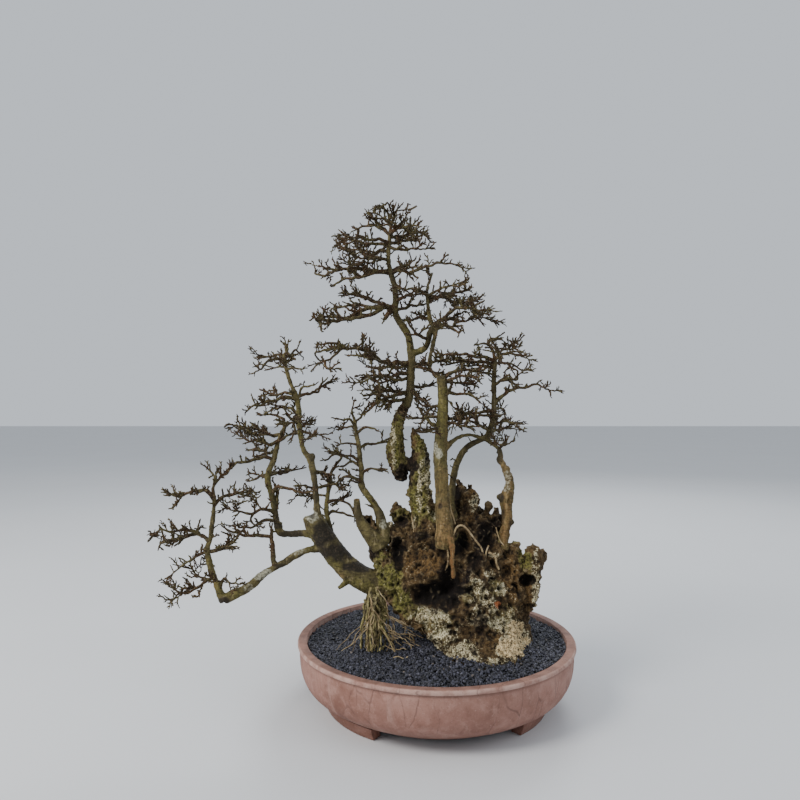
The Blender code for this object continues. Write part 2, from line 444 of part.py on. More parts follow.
def place(across, up, depth):
    """A drawn point's place in space, in metres: it is moved along the sight line to its depth."""
    k = 1.0 + depth / -EYE[1]
    x = (across - EYE[0]) * k + EYE[0]
    z = (up - EYE[2]) * k + EYE[2]
    return (x * TREE_SPREAD / 1000, depth * TREE_SPREAD / 1000,
            soil_level + (z - DRAWN_SOIL) / 1000 * TREE_HEIGHT / DRAWN_HEIGHT)


def thickness(radius, depth):
    """A drawn radius in metres, at its depth and at the tree's size."""
    return radius / 1000 * (1.0 + depth / -EYE[1]) * (TREE_SPREAD * TREE_HEIGHT / DRAWN_HEIGHT) ** 0.5


def depth_on(limb, across, up):
    """The depth of the point of a limb that lies nearest to a point of the drawing."""
    path = paths[limb]
    best = (1e9, 0.0)
    for (x0, z0, r0, y0), (x1, z1, r1, y1) in zip(path, path[1:]):
        length2 = (x1 - x0) ** 2 + (z1 - z0) ** 2
        t = min(1.0, max(0.0, ((across - x0) * (x1 - x0) + (up - z0) * (z1 - z0)) / length2))
        away = (x0 + t * (x1 - x0) - across) ** 2 + (z0 + t * (z1 - z0) - up) ** 2
        best = min(best, (away, y0 + t * (y1 - y0)))
    return best[1]


def lay_out(name, foot, tip, points):
    """Keep a limb's path with a depth at each point, even from foot to tip."""
    start = depth_on(foot, points[0][0], points[0][1]) if isinstance(foot, str) else foot
    reach = [0.0]
    for (x0, z0, r0), (x1, z1, r1) in zip(points, points[1:]):
        reach.append(reach[-1] + ((x1 - x0) ** 2 + (z1 - z0) ** 2) ** 0.5)
    paths[name] = [(x, z, r, start + (tip - start) * s / reach[-1])
                   for (x, z, r), s in zip(points, reach)]


def keep(obj, color, roughness, metallic=0.0):
    mat = bpy.data.materials.new(obj.name)
    mat.use_nodes = True
    shader = mat.node_tree.nodes["Principled BSDF"]
    shader.inputs["Base Color"].default_value = (*color, 1)
    shader.inputs["Roughness"].default_value = roughness
    shader.inputs["Metallic"].default_value = metallic
    mat.diffuse_color = (*color, 1)
    obj.data.materials.clear()
    obj.data.materials.append(mat)
    return obj


def add(name, bm, smooth=False):
    bmesh.ops.recalc_face_normals(bm, faces=bm.faces)
    mesh = bpy.data.meshes.new(name)
    bm.to_mesh(mesh)
    bm.free()
    obj = bpy.data.objects.new(name, mesh)
    bpy.context.scene.collection.objects.link(obj)
    if smooth:
        mesh.shade_smooth()
        mesh.set_sharp_from_angle(angle=radians(35))
    return obj


def settle(obj):
    """Replace an object's mesh by what its modifiers make of it."""
    graph = bpy.context.evaluated_depsgraph_get()
    mesh = bpy.data.meshes.new_from_object(obj.evaluated_get(graph))
    name = obj.name
    bpy.data.objects.remove(obj)
    done = bpy.data.objects.new(name, mesh)
    bpy.context.scene.collection.objects.link(done)
    return done


def combine(obj, others, operation):
    """Join or cut with other objects, which are used up."""
    group = bpy.data.collections.new("group")
    for other in others:
        group.objects.link(other)
    step = obj.modifiers.new("combine", "BOOLEAN")
    step.operation = operation
    step.solver = "EXACT"
    step.operand_type = "COLLECTION"
    step.collection = group
    done = settle(obj)
    for other in others:
        bpy.data.objects.remove(other)
    bpy.data.collections.remove(group)
    return done


def tube(name, points, sides=6, grow=0.0):
    """A limb along points (x, y, z, radius), flat at both ends; grow makes it fatter and longer."""
    curve = bpy.data.curves.new(name, "CURVE")
    curve.dimensions = "3D"
    curve.bevel_depth = 1.0
    curve.bevel_resolution = (sides - 4) // 2
    curve.use_fill_caps = True
    line = curve.splines.new("POLY")
    line.points.add(len(points) - 1)
    places = [Vector(point[:3]) for point in points]
    first, last = places[0] - places[1], places[-1] - places[-2]
    places[0] += first.normalized() * grow
    places[-1] += last.normalized() * grow
    for spot, (x, y, z), point in zip(line.points, places, points):
        spot.co = (x, y, z, 1)
        spot.radius = point[3] + grow
    obj = bpy.data.objects.new(name, curve)
    bpy.context.scene.collection.objects.link(obj)
    return settle(obj)


def turned(name, profile, steps=40):
    """A closed profile of (radius, height) corners turned about the Z axis."""
    bm = bmesh.new()
    corners = [bm.verts.new((r, 0, z)) for r, z in profile]
    ring = bm.faces.new(corners)
    bmesh.ops.spin(bm, geom=[ring], cent=(0, 0, 0), axis=(0, 0, 1), angle=2 * pi, steps=steps,
                   use_duplicate=False, use_merge=True)
    bmesh.ops.remove_doubles(bm, verts=bm.verts, dist=1e-6)
    inner = [f for f in bm.faces if len(f.verts) == len(profile)]
    bmesh.ops.delete(bm, geom=inner, context="FACES")
    return add(name, bm, smooth=True)


def stacked(name, rings):
    """A closed body through rings of points, one above the other."""
    bm = bmesh.new()
    rows = [[bm.verts.new(p) for p in ring] for ring in rings]
    for low, high in zip(rows, rows[1:]):
        for i in range(len(low)):
            j = (i + 1) % len(low)
            bm.faces.new((low[i], low[j], high[j], high[i]))
    bm.faces.new(rows[0][::-1])
    bm.faces.new(rows[-1])
    return add(name, bm)


def around(points, angle, shift=(0, 0)):
    c, s = cos(radians(angle)), sin(radians(angle))
    return [(c * x - s * y + shift[0], s * x + c * y + shift[1], z) for x, y, z in points]


def block(name, size, centre):
    bm = bmesh.new()
    bmesh.ops.create_cube(bm, size=1.0)
    bmesh.ops.scale(bm, vec=size, verts=bm.verts)
    bmesh.ops.translate(bm, vec=centre, verts=bm.verts)
    return add(name, bm)


def rod(name, radius, low, high, x=0.0, y=0.0, sides=24):
    bm = bmesh.new()
    bmesh.ops.create_cone(bm, cap_ends=True, segments=sides, radius1=radius, radius2=radius,
                          depth=high - low)
    bmesh.ops.translate(bm, vec=(x, y, (low + high) / 2), verts=bm.verts)
    return add(name, bm)


# Pot: an open bowl with a curved foot line, a rounded lip and a flat rim.
bottom = FOOT_HEIGHT
floor_top = bottom + FLOOR
lip = POT_HEIGHT - LIP_HEIGHT
rise = lip - bottom
swell = RIM_RADIUS - 0.0035
inner_radius = RIM_RADIUS - 0.0015 - WALL
CURVE = [(0.0, 0.0), (0.28, 0.095), (0.585, 0.213), (0.80, 0.343), (0.90, 0.46), (1.0, 0.72)]
outside = [(BASE_RADIUS + (swell - BASE_RADIUS) * out, bottom + rise * up) for out, up in CURVE]
outside += [(swell + 0.0005, lip - 0.001), (RIM_RADIUS - 0.0012, lip + 0.0005),
            (RIM_RADIUS, lip + LIP_HEIGHT * 0.35), (RIM_RADIUS, lip + LIP_HEIGHT * 0.7),
            (RIM_RADIUS - 0.0015, POT_HEIGHT)]
inside = []         # the outside curve moved in by the wall
for (r0, z0), (r1, z1), (r2, z2) in zip(outside, outside[1:6], outside[2:7]):
    across, up = r2 - r0, z2 - z0
    length = (across ** 2 + up ** 2) ** 0.5
    inside.append((r1 - up / length * WALL, z1 + across / length * WALL))
(r0, z0), (r1, z1) = inside[:2]
inside.insert(0, (r0 - (z0 - floor_top) * (r1 - r0) / (z1 - z0), floor_top))
inside = [(inner_radius, POT_HEIGHT), (inner_radius - 0.001, POT_HEIGHT - 0.0015)] + inside[::-1]
centre = HOLE_RADIUS * 0.2
pot = turned("pot", [(centre, bottom)] + outside + inside + [(centre, floor_top)])
plug = rod("plug", centre * 1.5, bottom, floor_top)


def wall_height(radius):
    """The height of the pot's underside at a radius."""
    for (r0, z0), (r1, z1) in zip(outside, outside[1:]):
        if r0 <= radius <= r1:
            return z0 + (z1 - z0) * (radius - r0) / (r1 - r0)
    return bottom


feet = []
for angle in FOOT_ANGLES:
    outer, inner = FOOT_RADIUS, FOOT_RADIUS - FOOT_WIDTH
    flare = 0.0065
    arcs = []
    for corners in ([(outer, 0.0), (inner, 0.0)],
                    [(outer + flare, wall_height(outer + flare) - 0.0015), (inner + 0.003, wall_height(inner + 0.003) + 0.002)]):
        loop = []
        for (r, z), order in zip(corners, (range(7), range(6, -1, -1))):
            for i in order:
                a = radians(angle + FOOT_SPREAD * (i / 6 - 0.5))
                loop.append((r * cos(a), r * sin(a), z))
        arcs.append(loop)
    feet.append(stacked("foot", arcs))
pot = combine(pot, [plug] + feet, "UNION")
holes = []
for angle in HOLE_ANGLES:
    x, y, z = around([(HOLE_CIRCLE, 0, 0)], angle)[0]
    holes.append(rod("hole", HOLE_RADIUS, -0.01, floor_top + 0.01, x, y))
pot = combine(pot, holes, "DIFFERENCE")
pot.data.shade_smooth()
pot.data.set_sharp_from_angle(angle=radians(35))
keep(pot, (0.30, 0.16, 0.13), 0.75)

# Screens over the drainage holes, each held by a bent wire that is folded under the pot's floor.
screen_low = floor_top + GAP
screen_high = screen_low + SCREEN_THICKNESS
cells = int((SCREEN_SIZE - SCREEN_BAR) // SCREEN_CELL)
pitch = (SCREEN_SIZE - SCREEN_BAR) / cells
legs = pitch * (cells // 2)
screens, staples = [], []
for number, angle in enumerate(HOLE_ANGLES, 1):
    hx, hy, z = around([(HOLE_CIRCLE, 0, 0)], angle)[0]
    screen = block("screen_%d" % number, (SCREEN_SIZE, SCREEN_SIZE, SCREEN_THICKNESS),
                   (0, 0, (screen_low + screen_high) / 2))
    windows = []
    for i in range(cells):
        for j in range(cells):
            windows.append(block("window", (pitch - SCREEN_BAR, pitch - SCREEN_BAR, SCREEN_THICKNESS * 3),
                                 ((i + 0.5 - cells / 2) * pitch, (j + 0.5 - cells / 2) * pitch,
                                  (screen_low + screen_high) / 2)))
    screen = combine(screen, windows, "DIFFERENCE")
    for vert in screen.data.vertices:
        vert.co = around([tuple(vert.co)], angle, (hx, hy))[0]
    screens.append(keep(screen, (0.01, 0.01, 0.01), 0.55))
    top = screen_high + GAP + WIRE / 2
    under = bottom - GAP - WIRE / 2
    side = pitch * (cells % 2 == 0) / 2
    reach = (cells // 2 - 0.5 + (cells % 2) / 2) * pitch
    reach = min(reach, HOLE_RADIUS - WIRE - GAP)
    reach = (int(reach / pitch - (0.5 if cells % 2 == 0 else 0)) + (0.5 if cells % 2 == 0 else 0)) * pitch
    bend = [(-HOLE_RADIUS - 0.012, side, under), (-reach, side, under), (-reach, side, top),
            (reach, side, top), (reach, side, under), (HOLE_RADIUS + 0.012, side, under)]
    bend = around(bend, angle, (hx, hy))
    staple = tube("staple_%d" % number, [(*p, WIRE / 2) for p in bend], sides=8)
    staples.append(keep(staple, (0.45, 0.42, 0.38), 0.4, 0.9))

# The soil's surface is lowest at the wall and rises to the stump, which stands off the centre.
wall_level = POT_HEIGHT - SOIL_DROP
soil_level = wall_level + MOUND
STUMP_CENTRE = (0.058, -0.040)


def surface(x, y):
    away = (((x - STUMP_CENTRE[0] * TREE_SPREAD) / 0.125) ** 2 + ((y - STUMP_CENTRE[1] * TREE_SPREAD) / 0.125) ** 2) ** 0.5
    hill = max(0.0, min(1.0, 1.75 - away)) ** 2 if away > 0.75 else 1.0
    return wall_level + MOUND * hill + 0.001 * sin(41 * x + 23 * y)


def bowl(height):
    """The pot's inner radius at a height."""
    for (r1, z1), (r0, z0) in zip(inside, inside[1:]):
        if z0 <= height <= z1:
            return r0 + (r1 - r0) * (height - z0) / (z1 - z0)
    return inside[-1][0]


def ring_at(radius, height=None, count=40):
    spots = []
    for i in range(count):
        x, y = radius * cos(2 * pi * i / count), radius * sin(2 * pi * i / count)
        spots.append((x, y, surface(x, y) if height is None else height))
    return spots


gravel_top = floor_top + GRAVEL_DEPTH


def levels_between(low, high):
    """Two heights and the corners of the pot's inside between them."""
    return [low] + [z for r, z in inside[::-1] if low + 0.002 < z < high - 0.002] + [high]


gravel = stacked("drainage_layer", [ring_at(bowl(h) - 3 * GAP, h) for h in levels_between(floor_top + GAP, gravel_top)])
pockets = []
for angle in HOLE_ANGLES:
    hx, hy, z = around([(HOLE_CIRCLE, 0, 0)], angle)[0]
    pocket = block("pocket", (SCREEN_SIZE + 4 * GAP, SCREEN_SIZE + 4 * GAP, (SCREEN_THICKNESS + WIRE + 4 * GAP) * 2),
                   (0, 0, floor_top))
    for vert in pocket.data.vertices:
        vert.co = around([tuple(vert.co)], angle, (hx, hy))[0]
    pockets.append(pocket)
gravel = combine(gravel, pockets, "DIFFERENCE")
keep(gravel, (0.10, 0.08, 0.07), 0.95)

soil_low = gravel_top + GAP
rings = [ring_at(bowl(h) - 3 * GAP, h) for h in levels_between(soil_low, wall_level - 0.012)]
edge = bowl(wall_level) - 2 * GAP
rings += [ring_at(edge * share) for share in (1.0, 0.86, 0.72, 0.58, 0.44, 0.30, 0.15)]
soil = stacked("soil", rings)

# Stump: rings that swell over the soil and narrow to the shoulders, from which the stems rise.
# (height in the drawing, left, right, front, back), all in mm where the stump is
STUMP = [(104, -6, 150, -143, 66), (112, -9, 148, -138, 66), (126, -27, 141, -122, 62),
         (140, -48, 141, -112, 62), (158, -66, 146, -106, 62), (178, -80, 150, -100, 60),
         (205, -88, 148, -92, 56), (230, -88, 138, -80, 52), (250, -78, 124, -66, 46), (272, -54, 108, -54, 38),
         (292, -38, 96, -40, 28), (300, -26, 80, -30, 18)]


def stump(name, grow=0.0):
    rings = []
    high = STUMP if grow == 0.0 else STUMP[:3]
    low = high[0]
    for number, (z, left, right, front, back) in enumerate([(None, *low[1:])] + list(high)):
        cx, cy = (left + right) / 2, (front + back) / 2
        a, b = (right - left) / 2 + grow * 1000, (back - front) / 2 + grow * 1000
        level = soil_level - ROOT_DEPTH - grow if z is None else \
            soil_level + (z - DRAWN_SOIL) / 1000 * TREE_HEIGHT / DRAWN_HEIGHT
        if z is None:
            a, b = a * 0.93, b * 0.93
        phase = 0.012 * (104 if z is None else z)
        ring = []
        for i in range(24):
            t = 2 * pi * i / 24
            wave = 1 + 0.05 * sin(5 * t + phase) + 0.035 * sin(8 * t - 2 * phase)
            x, y = cx + a * wave * cos(t), cy + b * wave * sin(t)
            ring.append((x / 1000 * TREE_SPREAD, y / 1000 * TREE_SPREAD, level))
        rings.append(ring)
    return stacked(name, rings)


paths = {}
waiting = dict(LIMBS)
for name, (foot, tip, start, end, points) in {**BRANCHES, **ROOTS}.items():
    taper = [(x, z, start + (end - start) * i / (len(points) - 1)) for i, (x, z) in enumerate(points)]
    waiting[name] = (foot, tip, taper)
while waiting:      # a limb is laid out once its parent is
    for name, (foot, tip, points) in list(waiting.items()):
        if foot not in waiting:
            lay_out(name, foot, tip, points)
            del waiting[name]


def limb(name, grow=0.0):
    path = paths[name]
    sides = 6 if max(r for x, z, r, y in path) >= 5.5 else 4
    points = [(*place(x, z, y), thickness(r, y)) for x, z, r, y in path]
    return tube(name, points, sides, grow)


limbs = [limb(name) for name in paths
         if name not in BRANCHES or paths[name][0][2] >= THIN]
tree = combine(stump("tree"), limbs, "UNION")
tree.data.shade_smooth()
tree.data.set_sharp_from_angle(angle=radians(50))
keep(tree, (0.12, 0.09, 0.06), 0.85)

# The soil fits round the stump and the roots that grow into it.
soil = combine(soil, [stump("hollow", 2 * GAP)] + [limb(name, 2 * GAP) for name in ROOTS], "DIFFERENCE")
keep(soil, (0.015, 0.015, 0.018), 0.95)

# The pot and the tree are centred together on x = 0.
corners = [v.co for obj in bpy.data.objects for v in obj.data.vertices]
middle = (min(c.x for c in corners) + max(c.x for c in corners)) / 2
for obj in bpy.data.objects:
    obj.location.x = -middle
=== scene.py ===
# A bonsai of craggy, many-stemmed deadwood with bare twigs, planted in black grit in a round clay pot.
import random
from math import cos, pi, radians, sin

import bmesh
import bpy
from mathutils import Matrix, Vector, noise


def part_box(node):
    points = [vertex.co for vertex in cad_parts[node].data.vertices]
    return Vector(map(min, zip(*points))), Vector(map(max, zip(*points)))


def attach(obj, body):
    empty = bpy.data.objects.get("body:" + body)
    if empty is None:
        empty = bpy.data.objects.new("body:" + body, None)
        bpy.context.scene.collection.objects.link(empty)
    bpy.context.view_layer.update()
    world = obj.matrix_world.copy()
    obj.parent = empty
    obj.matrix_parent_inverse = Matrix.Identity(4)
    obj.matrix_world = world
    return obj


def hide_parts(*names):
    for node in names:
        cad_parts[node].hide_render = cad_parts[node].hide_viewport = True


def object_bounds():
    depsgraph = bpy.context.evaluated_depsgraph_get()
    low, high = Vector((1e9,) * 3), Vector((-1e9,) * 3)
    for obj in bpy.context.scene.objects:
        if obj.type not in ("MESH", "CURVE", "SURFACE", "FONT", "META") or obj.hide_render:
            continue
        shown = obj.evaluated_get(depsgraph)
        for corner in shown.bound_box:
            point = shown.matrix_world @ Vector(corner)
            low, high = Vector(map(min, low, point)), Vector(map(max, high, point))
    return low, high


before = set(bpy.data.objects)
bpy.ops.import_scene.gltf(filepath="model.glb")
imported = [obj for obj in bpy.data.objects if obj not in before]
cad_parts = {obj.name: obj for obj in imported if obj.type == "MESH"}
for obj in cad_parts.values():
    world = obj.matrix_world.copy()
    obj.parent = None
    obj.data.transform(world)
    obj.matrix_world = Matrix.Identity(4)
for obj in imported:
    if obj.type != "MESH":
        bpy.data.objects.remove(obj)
cad_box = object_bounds()

# ---- Pot -------------------------------------------------------------------------------------------
# A round bowl of unglazed brown clay, thrown and turned, then fired: a flat rim, a thin rounded lip
# band under it, a wall that curves in to the foot, and three low bracket feet luted on below.
low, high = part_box("pot")
AXIS = Vector(((low[0] + high[0]) / 2, (low[1] + high[1]) / 2, 0))
RIM_RADIUS = (high[0] - low[0]) / 2
POT_HEIGHT = high[2]
BASE_RADIUS = 0.158         # of the flat underside, from which the wall sweeps out
FOOT_HEIGHT = 0.006
FOOT_SPREAD = 47.0          # degrees of the circle that one foot takes
FOOT_ANGLES = (94.0, 214.0, 334.0)
FOOT_SECTION = ((0.1800, 0), (0.1620, 0), (0.1660, 0.0125), (0.1868, 0.0186), (0.1850, 0.0110))
HOLE_RADIUS = 0.019
HOLE_CIRCLE = 0.085
HOLE_ANGLES = (30.0, 150.0, 270.0)
WALL = 0.0135
LIP_HEIGHT = 0.0075


class Finish:
    """A value or colour that varies over a surface. Sums of it add Math nodes to its material."""

    def __init__(self, socket):
        self.socket = socket
        self.tree = socket.id_data

    def node(self, kind, settings, values, output=0):
        """Add a node: its settings first, then the values or links of its sockets."""
        made = self.tree.nodes.new(kind)
        for key, value in settings.items():
            setattr(made, key, value)
        for key, value in values.items():
            if isinstance(value, Finish):
                self.tree.links.new(value.socket, made.inputs[key])
            elif isinstance(value, tuple) and made.inputs[key].type == "RGBA":
                made.inputs[key].default_value = (*value, 1)
            else:
                made.inputs[key].default_value = value
        return Finish(made.outputs[output])

    def sum(self, operation, a, b):
        return self.node("ShaderNodeMath", {"operation": operation}, {0: a, 1: b})

    def __add__(self, other):
        return self.sum("ADD", self, other)

    __radd__ = __add__

    def __sub__(self, other):
        return self.sum("SUBTRACT", self, other)

    def __rsub__(self, other):
        return self.sum("SUBTRACT", other, self)

    def __mul__(self, other):
        return self.sum("MULTIPLY", self, other)

    __rmul__ = __mul__


def ramp(value, low, high):
    """0 below low, 1 above high and even between them; the other way round if low is above high."""
    if low > high:
        return 1 - ramp(value, high, low)
    return value.node("ShaderNodeMapRange", {"clamp": True}, {"Value": value, "From Min": low, "From Max": high})


def grain(at, scale, detail=3.0, rough=0.55, stretch=(1, 1, 1), warp=0.0):
    """Even random mottling, 0 to 1, with grains of about 1/scale metres."""
    moved = at.node("ShaderNodeMapping", {}, {"Vector": at, "Scale": stretch})
    return at.node("ShaderNodeTexNoise", {}, {"Vector": moved, "Scale": scale, "Detail": detail,
                                              "Roughness": rough, "Distortion": warp})


def blend(factor, a, b):
    """Colour a where factor is 0 and colour b where it is 1."""
    return factor.node("ShaderNodeMix", {"data_type": "RGBA"}, {0: factor, 6: a, 7: b}, output=2)


def painted(at, name):
    """A value that is kept with each point of the mesh."""
    return at.node("ShaderNodeAttribute", {"attribute_name": name}, {}, output=2)


def start_finish(name):
    """A new material, with its shader and the place of each point of the piece."""
    mat = bpy.data.materials.new(name)
    mat.use_nodes = True
    shader = mat.node_tree.nodes["Principled BSDF"]
    coords = mat.node_tree.nodes.new("ShaderNodeTexCoord")
    return mat, shader, Finish(coords.outputs["Object"])


def end_finish(shader, color, rough, height, depth, metal=0.0, shine=0.5):
    """Link the colour, the roughness and the relief to the shader."""
    relief = height.node("ShaderNodeBump", {}, {"Height": height, "Strength": 1.0, "Distance": depth})
    for socket, value in (("Base Color", color), ("Roughness", rough), ("Normal", relief)):
        color.tree.links.new(value.socket, shader.inputs[socket])
    shader.inputs["Metallic"].default_value = metal
    shader.inputs["Specular IOR Level"].default_value = shine


def split(at):
    """The height of a point, and its distance from the pot's axis."""
    flat = at.node("ShaderNodeVectorMath", {"operation": "SUBTRACT"}, {0: at, 1: AXIS})
    flat = at.node("ShaderNodeVectorMath", {"operation": "MULTIPLY"}, {0: flat, 1: (1, 1, 0)})
    radius = at.node("ShaderNodeVectorMath", {"operation": "LENGTH"}, {0: flat}, output=1)
    height = at.node("ShaderNodeSeparateXYZ", {}, {0: at}, output=2)
    return height, radius


def add(name, data):
    """A new object in the scene."""
    obj = bpy.data.objects.new(name, data)
    bpy.context.scene.collection.objects.link(obj)
    return obj


def add_mesh(name, bm):
    """A new object in the scene that takes over a bmesh."""
    mesh = bpy.data.meshes.new(name)
    bm.to_mesh(mesh)
    bm.free()
    return add(name, mesh)


def piece(name, bm, mat, slot, *nodes, angle=None):
    """Finish a piece: it rides on the whole object's body and stands for CAD nodes."""
    obj = add_mesh(name, bm)
    obj.data.shade_smooth()
    if angle:
        obj.data.set_sharp_from_angle(angle=radians(angle))
    obj.data.materials.append(mat)
    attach(obj, "root")
    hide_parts(*nodes)
    return obj


# The clay: dusty pink bloom over brown, darker and redder at the foot, with fine crazing and runs; a painted
# highlight on the lip band and painted shade in the crease under it.
clay, shader, at = start_finish("clay")
height, radius = split(at)
cloud = grain(at, 11, 5, 0.65)
speck = grain(at, 420, 3, 0.65)
runs = grain(at, 42, 4, 0.6, (1, 1, 0.10), 0.5)
dust = grain(at, 60, 5, 0.7)
color = blend(ramp(cloud, 0.36, 0.64), (0.180, 0.078, 0.054), (0.300, 0.150, 0.114))
color = blend(ramp(dust, 0.50, 0.68) * 0.45, color, (0.41, 0.235, 0.190))
color = blend(ramp(dust, 0.44, 0.32) * 0.45, color, (0.155, 0.066, 0.044))
color = blend(ramp(runs, 0.55, 0.68) * 0.30, color, (0.47, 0.31, 0.26))
bloom = ramp(height, 0.060, 0.097) * ramp(grain(at, 26, 5, 0.65), 0.38, 0.60)
color = blend(bloom * 0.4, color, (0.41, 0.25, 0.20))
# painted highlight: the lip band is painted lighter
lip_highlight = ramp(height, POT_HEIGHT - 0.0090, POT_HEIGHT - 0.0068)
color = blend(lip_highlight * ramp(grain(at, 60, 4), 0.34, 0.60) * 0.6, color, (0.50, 0.34, 0.285))
# painted shade in the crease under the lip band
crease_shade = ramp(height, POT_HEIGHT - 0.0125, POT_HEIGHT - 0.0095)
crease_shade = crease_shade * ramp(height, POT_HEIGHT - 0.0078, POT_HEIGHT - 0.0090)
color = blend(crease_shade * 0.45, color, (0.12, 0.052, 0.036))
rim_top = ramp(radius, RIM_RADIUS - 0.0012, RIM_RADIUS - 0.0030)
rim_top = rim_top * ramp(height, POT_HEIGHT - 0.0018, POT_HEIGHT - 0.0008)
stained = blend(ramp(grain(at, 45, 4), 0.35, 0.62), (0.125, 0.055, 0.037), (0.235, 0.115, 0.080))
color = blend(rim_top * 0.85, color, stained)
# fine dark hairlines, most of them upright, as if water had run down the wall
bent = at.node("ShaderNodeVectorMath", {"operation": "ADD"}, {0: at, 1: at.node(
    "ShaderNodeVectorMath", {"operation": "SCALE"},
    {0: at.node("ShaderNodeTexNoise", {}, {"Vector": at, "Scale": 30.0, "Detail": 5.0}, output=1), "Scale": 0.014})})
tall = at.node("ShaderNodeMapping", {}, {"Vector": bent, "Scale": (1, 1, 0.22)})
cell = at.node("ShaderNodeTexVoronoi", {"feature": "DISTANCE_TO_EDGE"}, {"Vector": tall, "Scale": 34.0})
crazing = ramp(cell, 0.030, 0.004) * ramp(grain(at, 24, 4), 0.44, 0.60)
color = blend(crazing * 0.55, color, (0.105, 0.045, 0.033))
foot_line = ramp(height, 0.034, 0.010)
color = blend(foot_line * ramp(dust, 0.30, 0.60) * 0.85, color, (0.120, 0.038, 0.016))
color = blend(ramp(speck, 0.62, 0.72) * 0.3, color, (0.56, 0.42, 0.36))
color = blend(ramp(speck, 0.40, 0.30) * 0.4, color, (0.11, 0.050, 0.034))
rough = 0.80 - foot_line * 0.2 - ramp(cloud, 0.5, 0.7) * 0.10
end_finish(shader, color, rough, speck * 0.4 + dust * 0.5 - crazing * 0.6, 0.0007)

bm = bmesh.new()
lip = POT_HEIGHT - LIP_HEIGHT
swell = RIM_RADIUS - 0.0035
rise = lip - FOOT_HEIGHT
inner = RIM_RADIUS - 0.0015 - WALL
# the wall: its way out from the base to the swell, and its way up from the base to the lip
WALL_CURVE = [
    (0, 0), (0.07, 0.012), (0.14, 0.042), (0.21, 0.067), (0.28, 0.095), (0.36, 0.123), (0.435, 0.151),
    (0.51, 0.18), (0.58, 0.211), (0.65, 0.245), (0.72, 0.284), (0.785, 0.33), (0.84, 0.381), (0.89, 0.445),
    (0.93, 0.515), (0.965, 0.6), (0.988, 0.7), (1.0, 0.81), (1.002, 0.92)]
profile = [(0.0001, FOOT_HEIGHT)]
profile += [(BASE_RADIUS + (swell - BASE_RADIUS) * out, FOOT_HEIGHT + rise * up) for out, up in WALL_CURVE]
profile += [(swell - 0.0003, lip - 0.0012), (swell - 0.0002, lip - 0.0004), (swell + 0.0014, lip + 0.0002),
            (RIM_RADIUS - 0.0005, lip + 0.0012), (RIM_RADIUS, lip + 0.0030), (RIM_RADIUS - 0.0001, lip + 0.0048),
            (RIM_RADIUS - 0.0008, lip + 0.0064), (RIM_RADIUS - 0.0020, POT_HEIGHT - 0.0002),
            (RIM_RADIUS - 0.0034, POT_HEIGHT), (inner + 0.0016, POT_HEIGHT), (inner + 0.0004, POT_HEIGHT - 0.0005),
            (inner - 0.0002, POT_HEIGHT - 0.0018), (0.2100, 0.0720), (0.2065, 0.0580), (0.2005, 0.0460),
            (0.1888, 0.0360), (0.1702, 0.0262), (0.1590, 0.0202), (0.0001, 0.0202)]
corners = [bm.verts.new((r, 0, z)) for r, z in profile]
edges = [bm.edges.new(pair) for pair in zip(corners, corners[1:])]
bmesh.ops.spin(bm, geom=corners + edges, axis=(0, 0, 1), cent=(0, 0, 0), angle=2 * pi, steps=144, use_merge=True)
bmesh.ops.remove_doubles(bm, verts=bm.verts, dist=0.00015)
bmesh.ops.holes_fill(bm, edges=[e for e in bm.edges if e.is_boundary], sides=0)
bmesh.ops.recalc_face_normals(bm, faces=bm.faces)
for vert in bm.verts:       # the potter's hand: the wall is a little uneven
    r = vert.co.xy.length
    if r > 0.12 and vert.co.z > FOOT_HEIGHT + 0.002:
        wave = noise.noise(vert.co * 9) * 0.0007 + noise.noise(vert.co * 45) * 0.00016
        vert.co.x -= vert.co.x / r * abs(wave)
        vert.co.y -= vert.co.y / r * abs(wave)


def changed(obj):
    """The bmesh that an object's modifier makes; the object itself goes."""
    whole = bmesh.new()
    whole.from_object(obj, bpy.context.evaluated_depsgraph_get())
    bpy.data.objects.remove(obj)
    return whole


def combined(bm, other, operation):
    """Two bmeshes joined, or the second cut out of the first."""
    obj, tool = add_mesh("part", bm), add_mesh("part", other)
    step = obj.modifiers.new("cut", "BOOLEAN")
    step.operation, step.solver, step.object = operation, "EXACT", tool
    whole = changed(obj)
    bpy.data.objects.remove(tool)
    return whole


for middle in FOOT_ANGLES:      # bracket feet, moulded to the wall, with rounded edges
    foot = bmesh.new()
    rows = []
    for step in range(15):
        a = radians(middle + FOOT_SPREAD * (step / 14 - 0.5))
        rows.append([foot.verts.new((r * cos(a), r * sin(a), z)) for r, z in FOOT_SECTION])
    foot.faces.new(rows[0])
    foot.faces.new(rows[-1])
    for row, following in zip(rows, rows[1:]):
        for number in range(5):
            foot.faces.new((row[number - 1], row[number], following[number], following[number - 1]))
    bmesh.ops.recalc_face_normals(foot, faces=foot.faces)
    rims = [e for e in foot.edges if len(e.link_faces) == 2 and e.calc_face_angle(0) > 0.7]
    bmesh.ops.bevel(foot, geom=rims, offset=0.0010, segments=3, profile=0.5, affect="EDGES", material=-1)
    bm = combined(bm, foot, "UNION")
drill = bmesh.new()
for turn in HOLE_ANGLES:
    hole = bmesh.ops.create_cone(drill, cap_ends=True, segments=48, radius1=HOLE_RADIUS, radius2=HOLE_RADIUS,
                                 depth=0.05)
    spot = (HOLE_CIRCLE * cos(radians(turn)), HOLE_CIRCLE * sin(radians(turn)), 0.015)
    bmesh.ops.translate(drill, vec=spot, verts=hole["verts"])
bm = combined(bm, drill, "DIFFERENCE")
bmesh.ops.translate(bm, vec=AXIS, verts=bm.verts)
piece("clay_pot", bm, clay, "clay", "pot", angle=42)

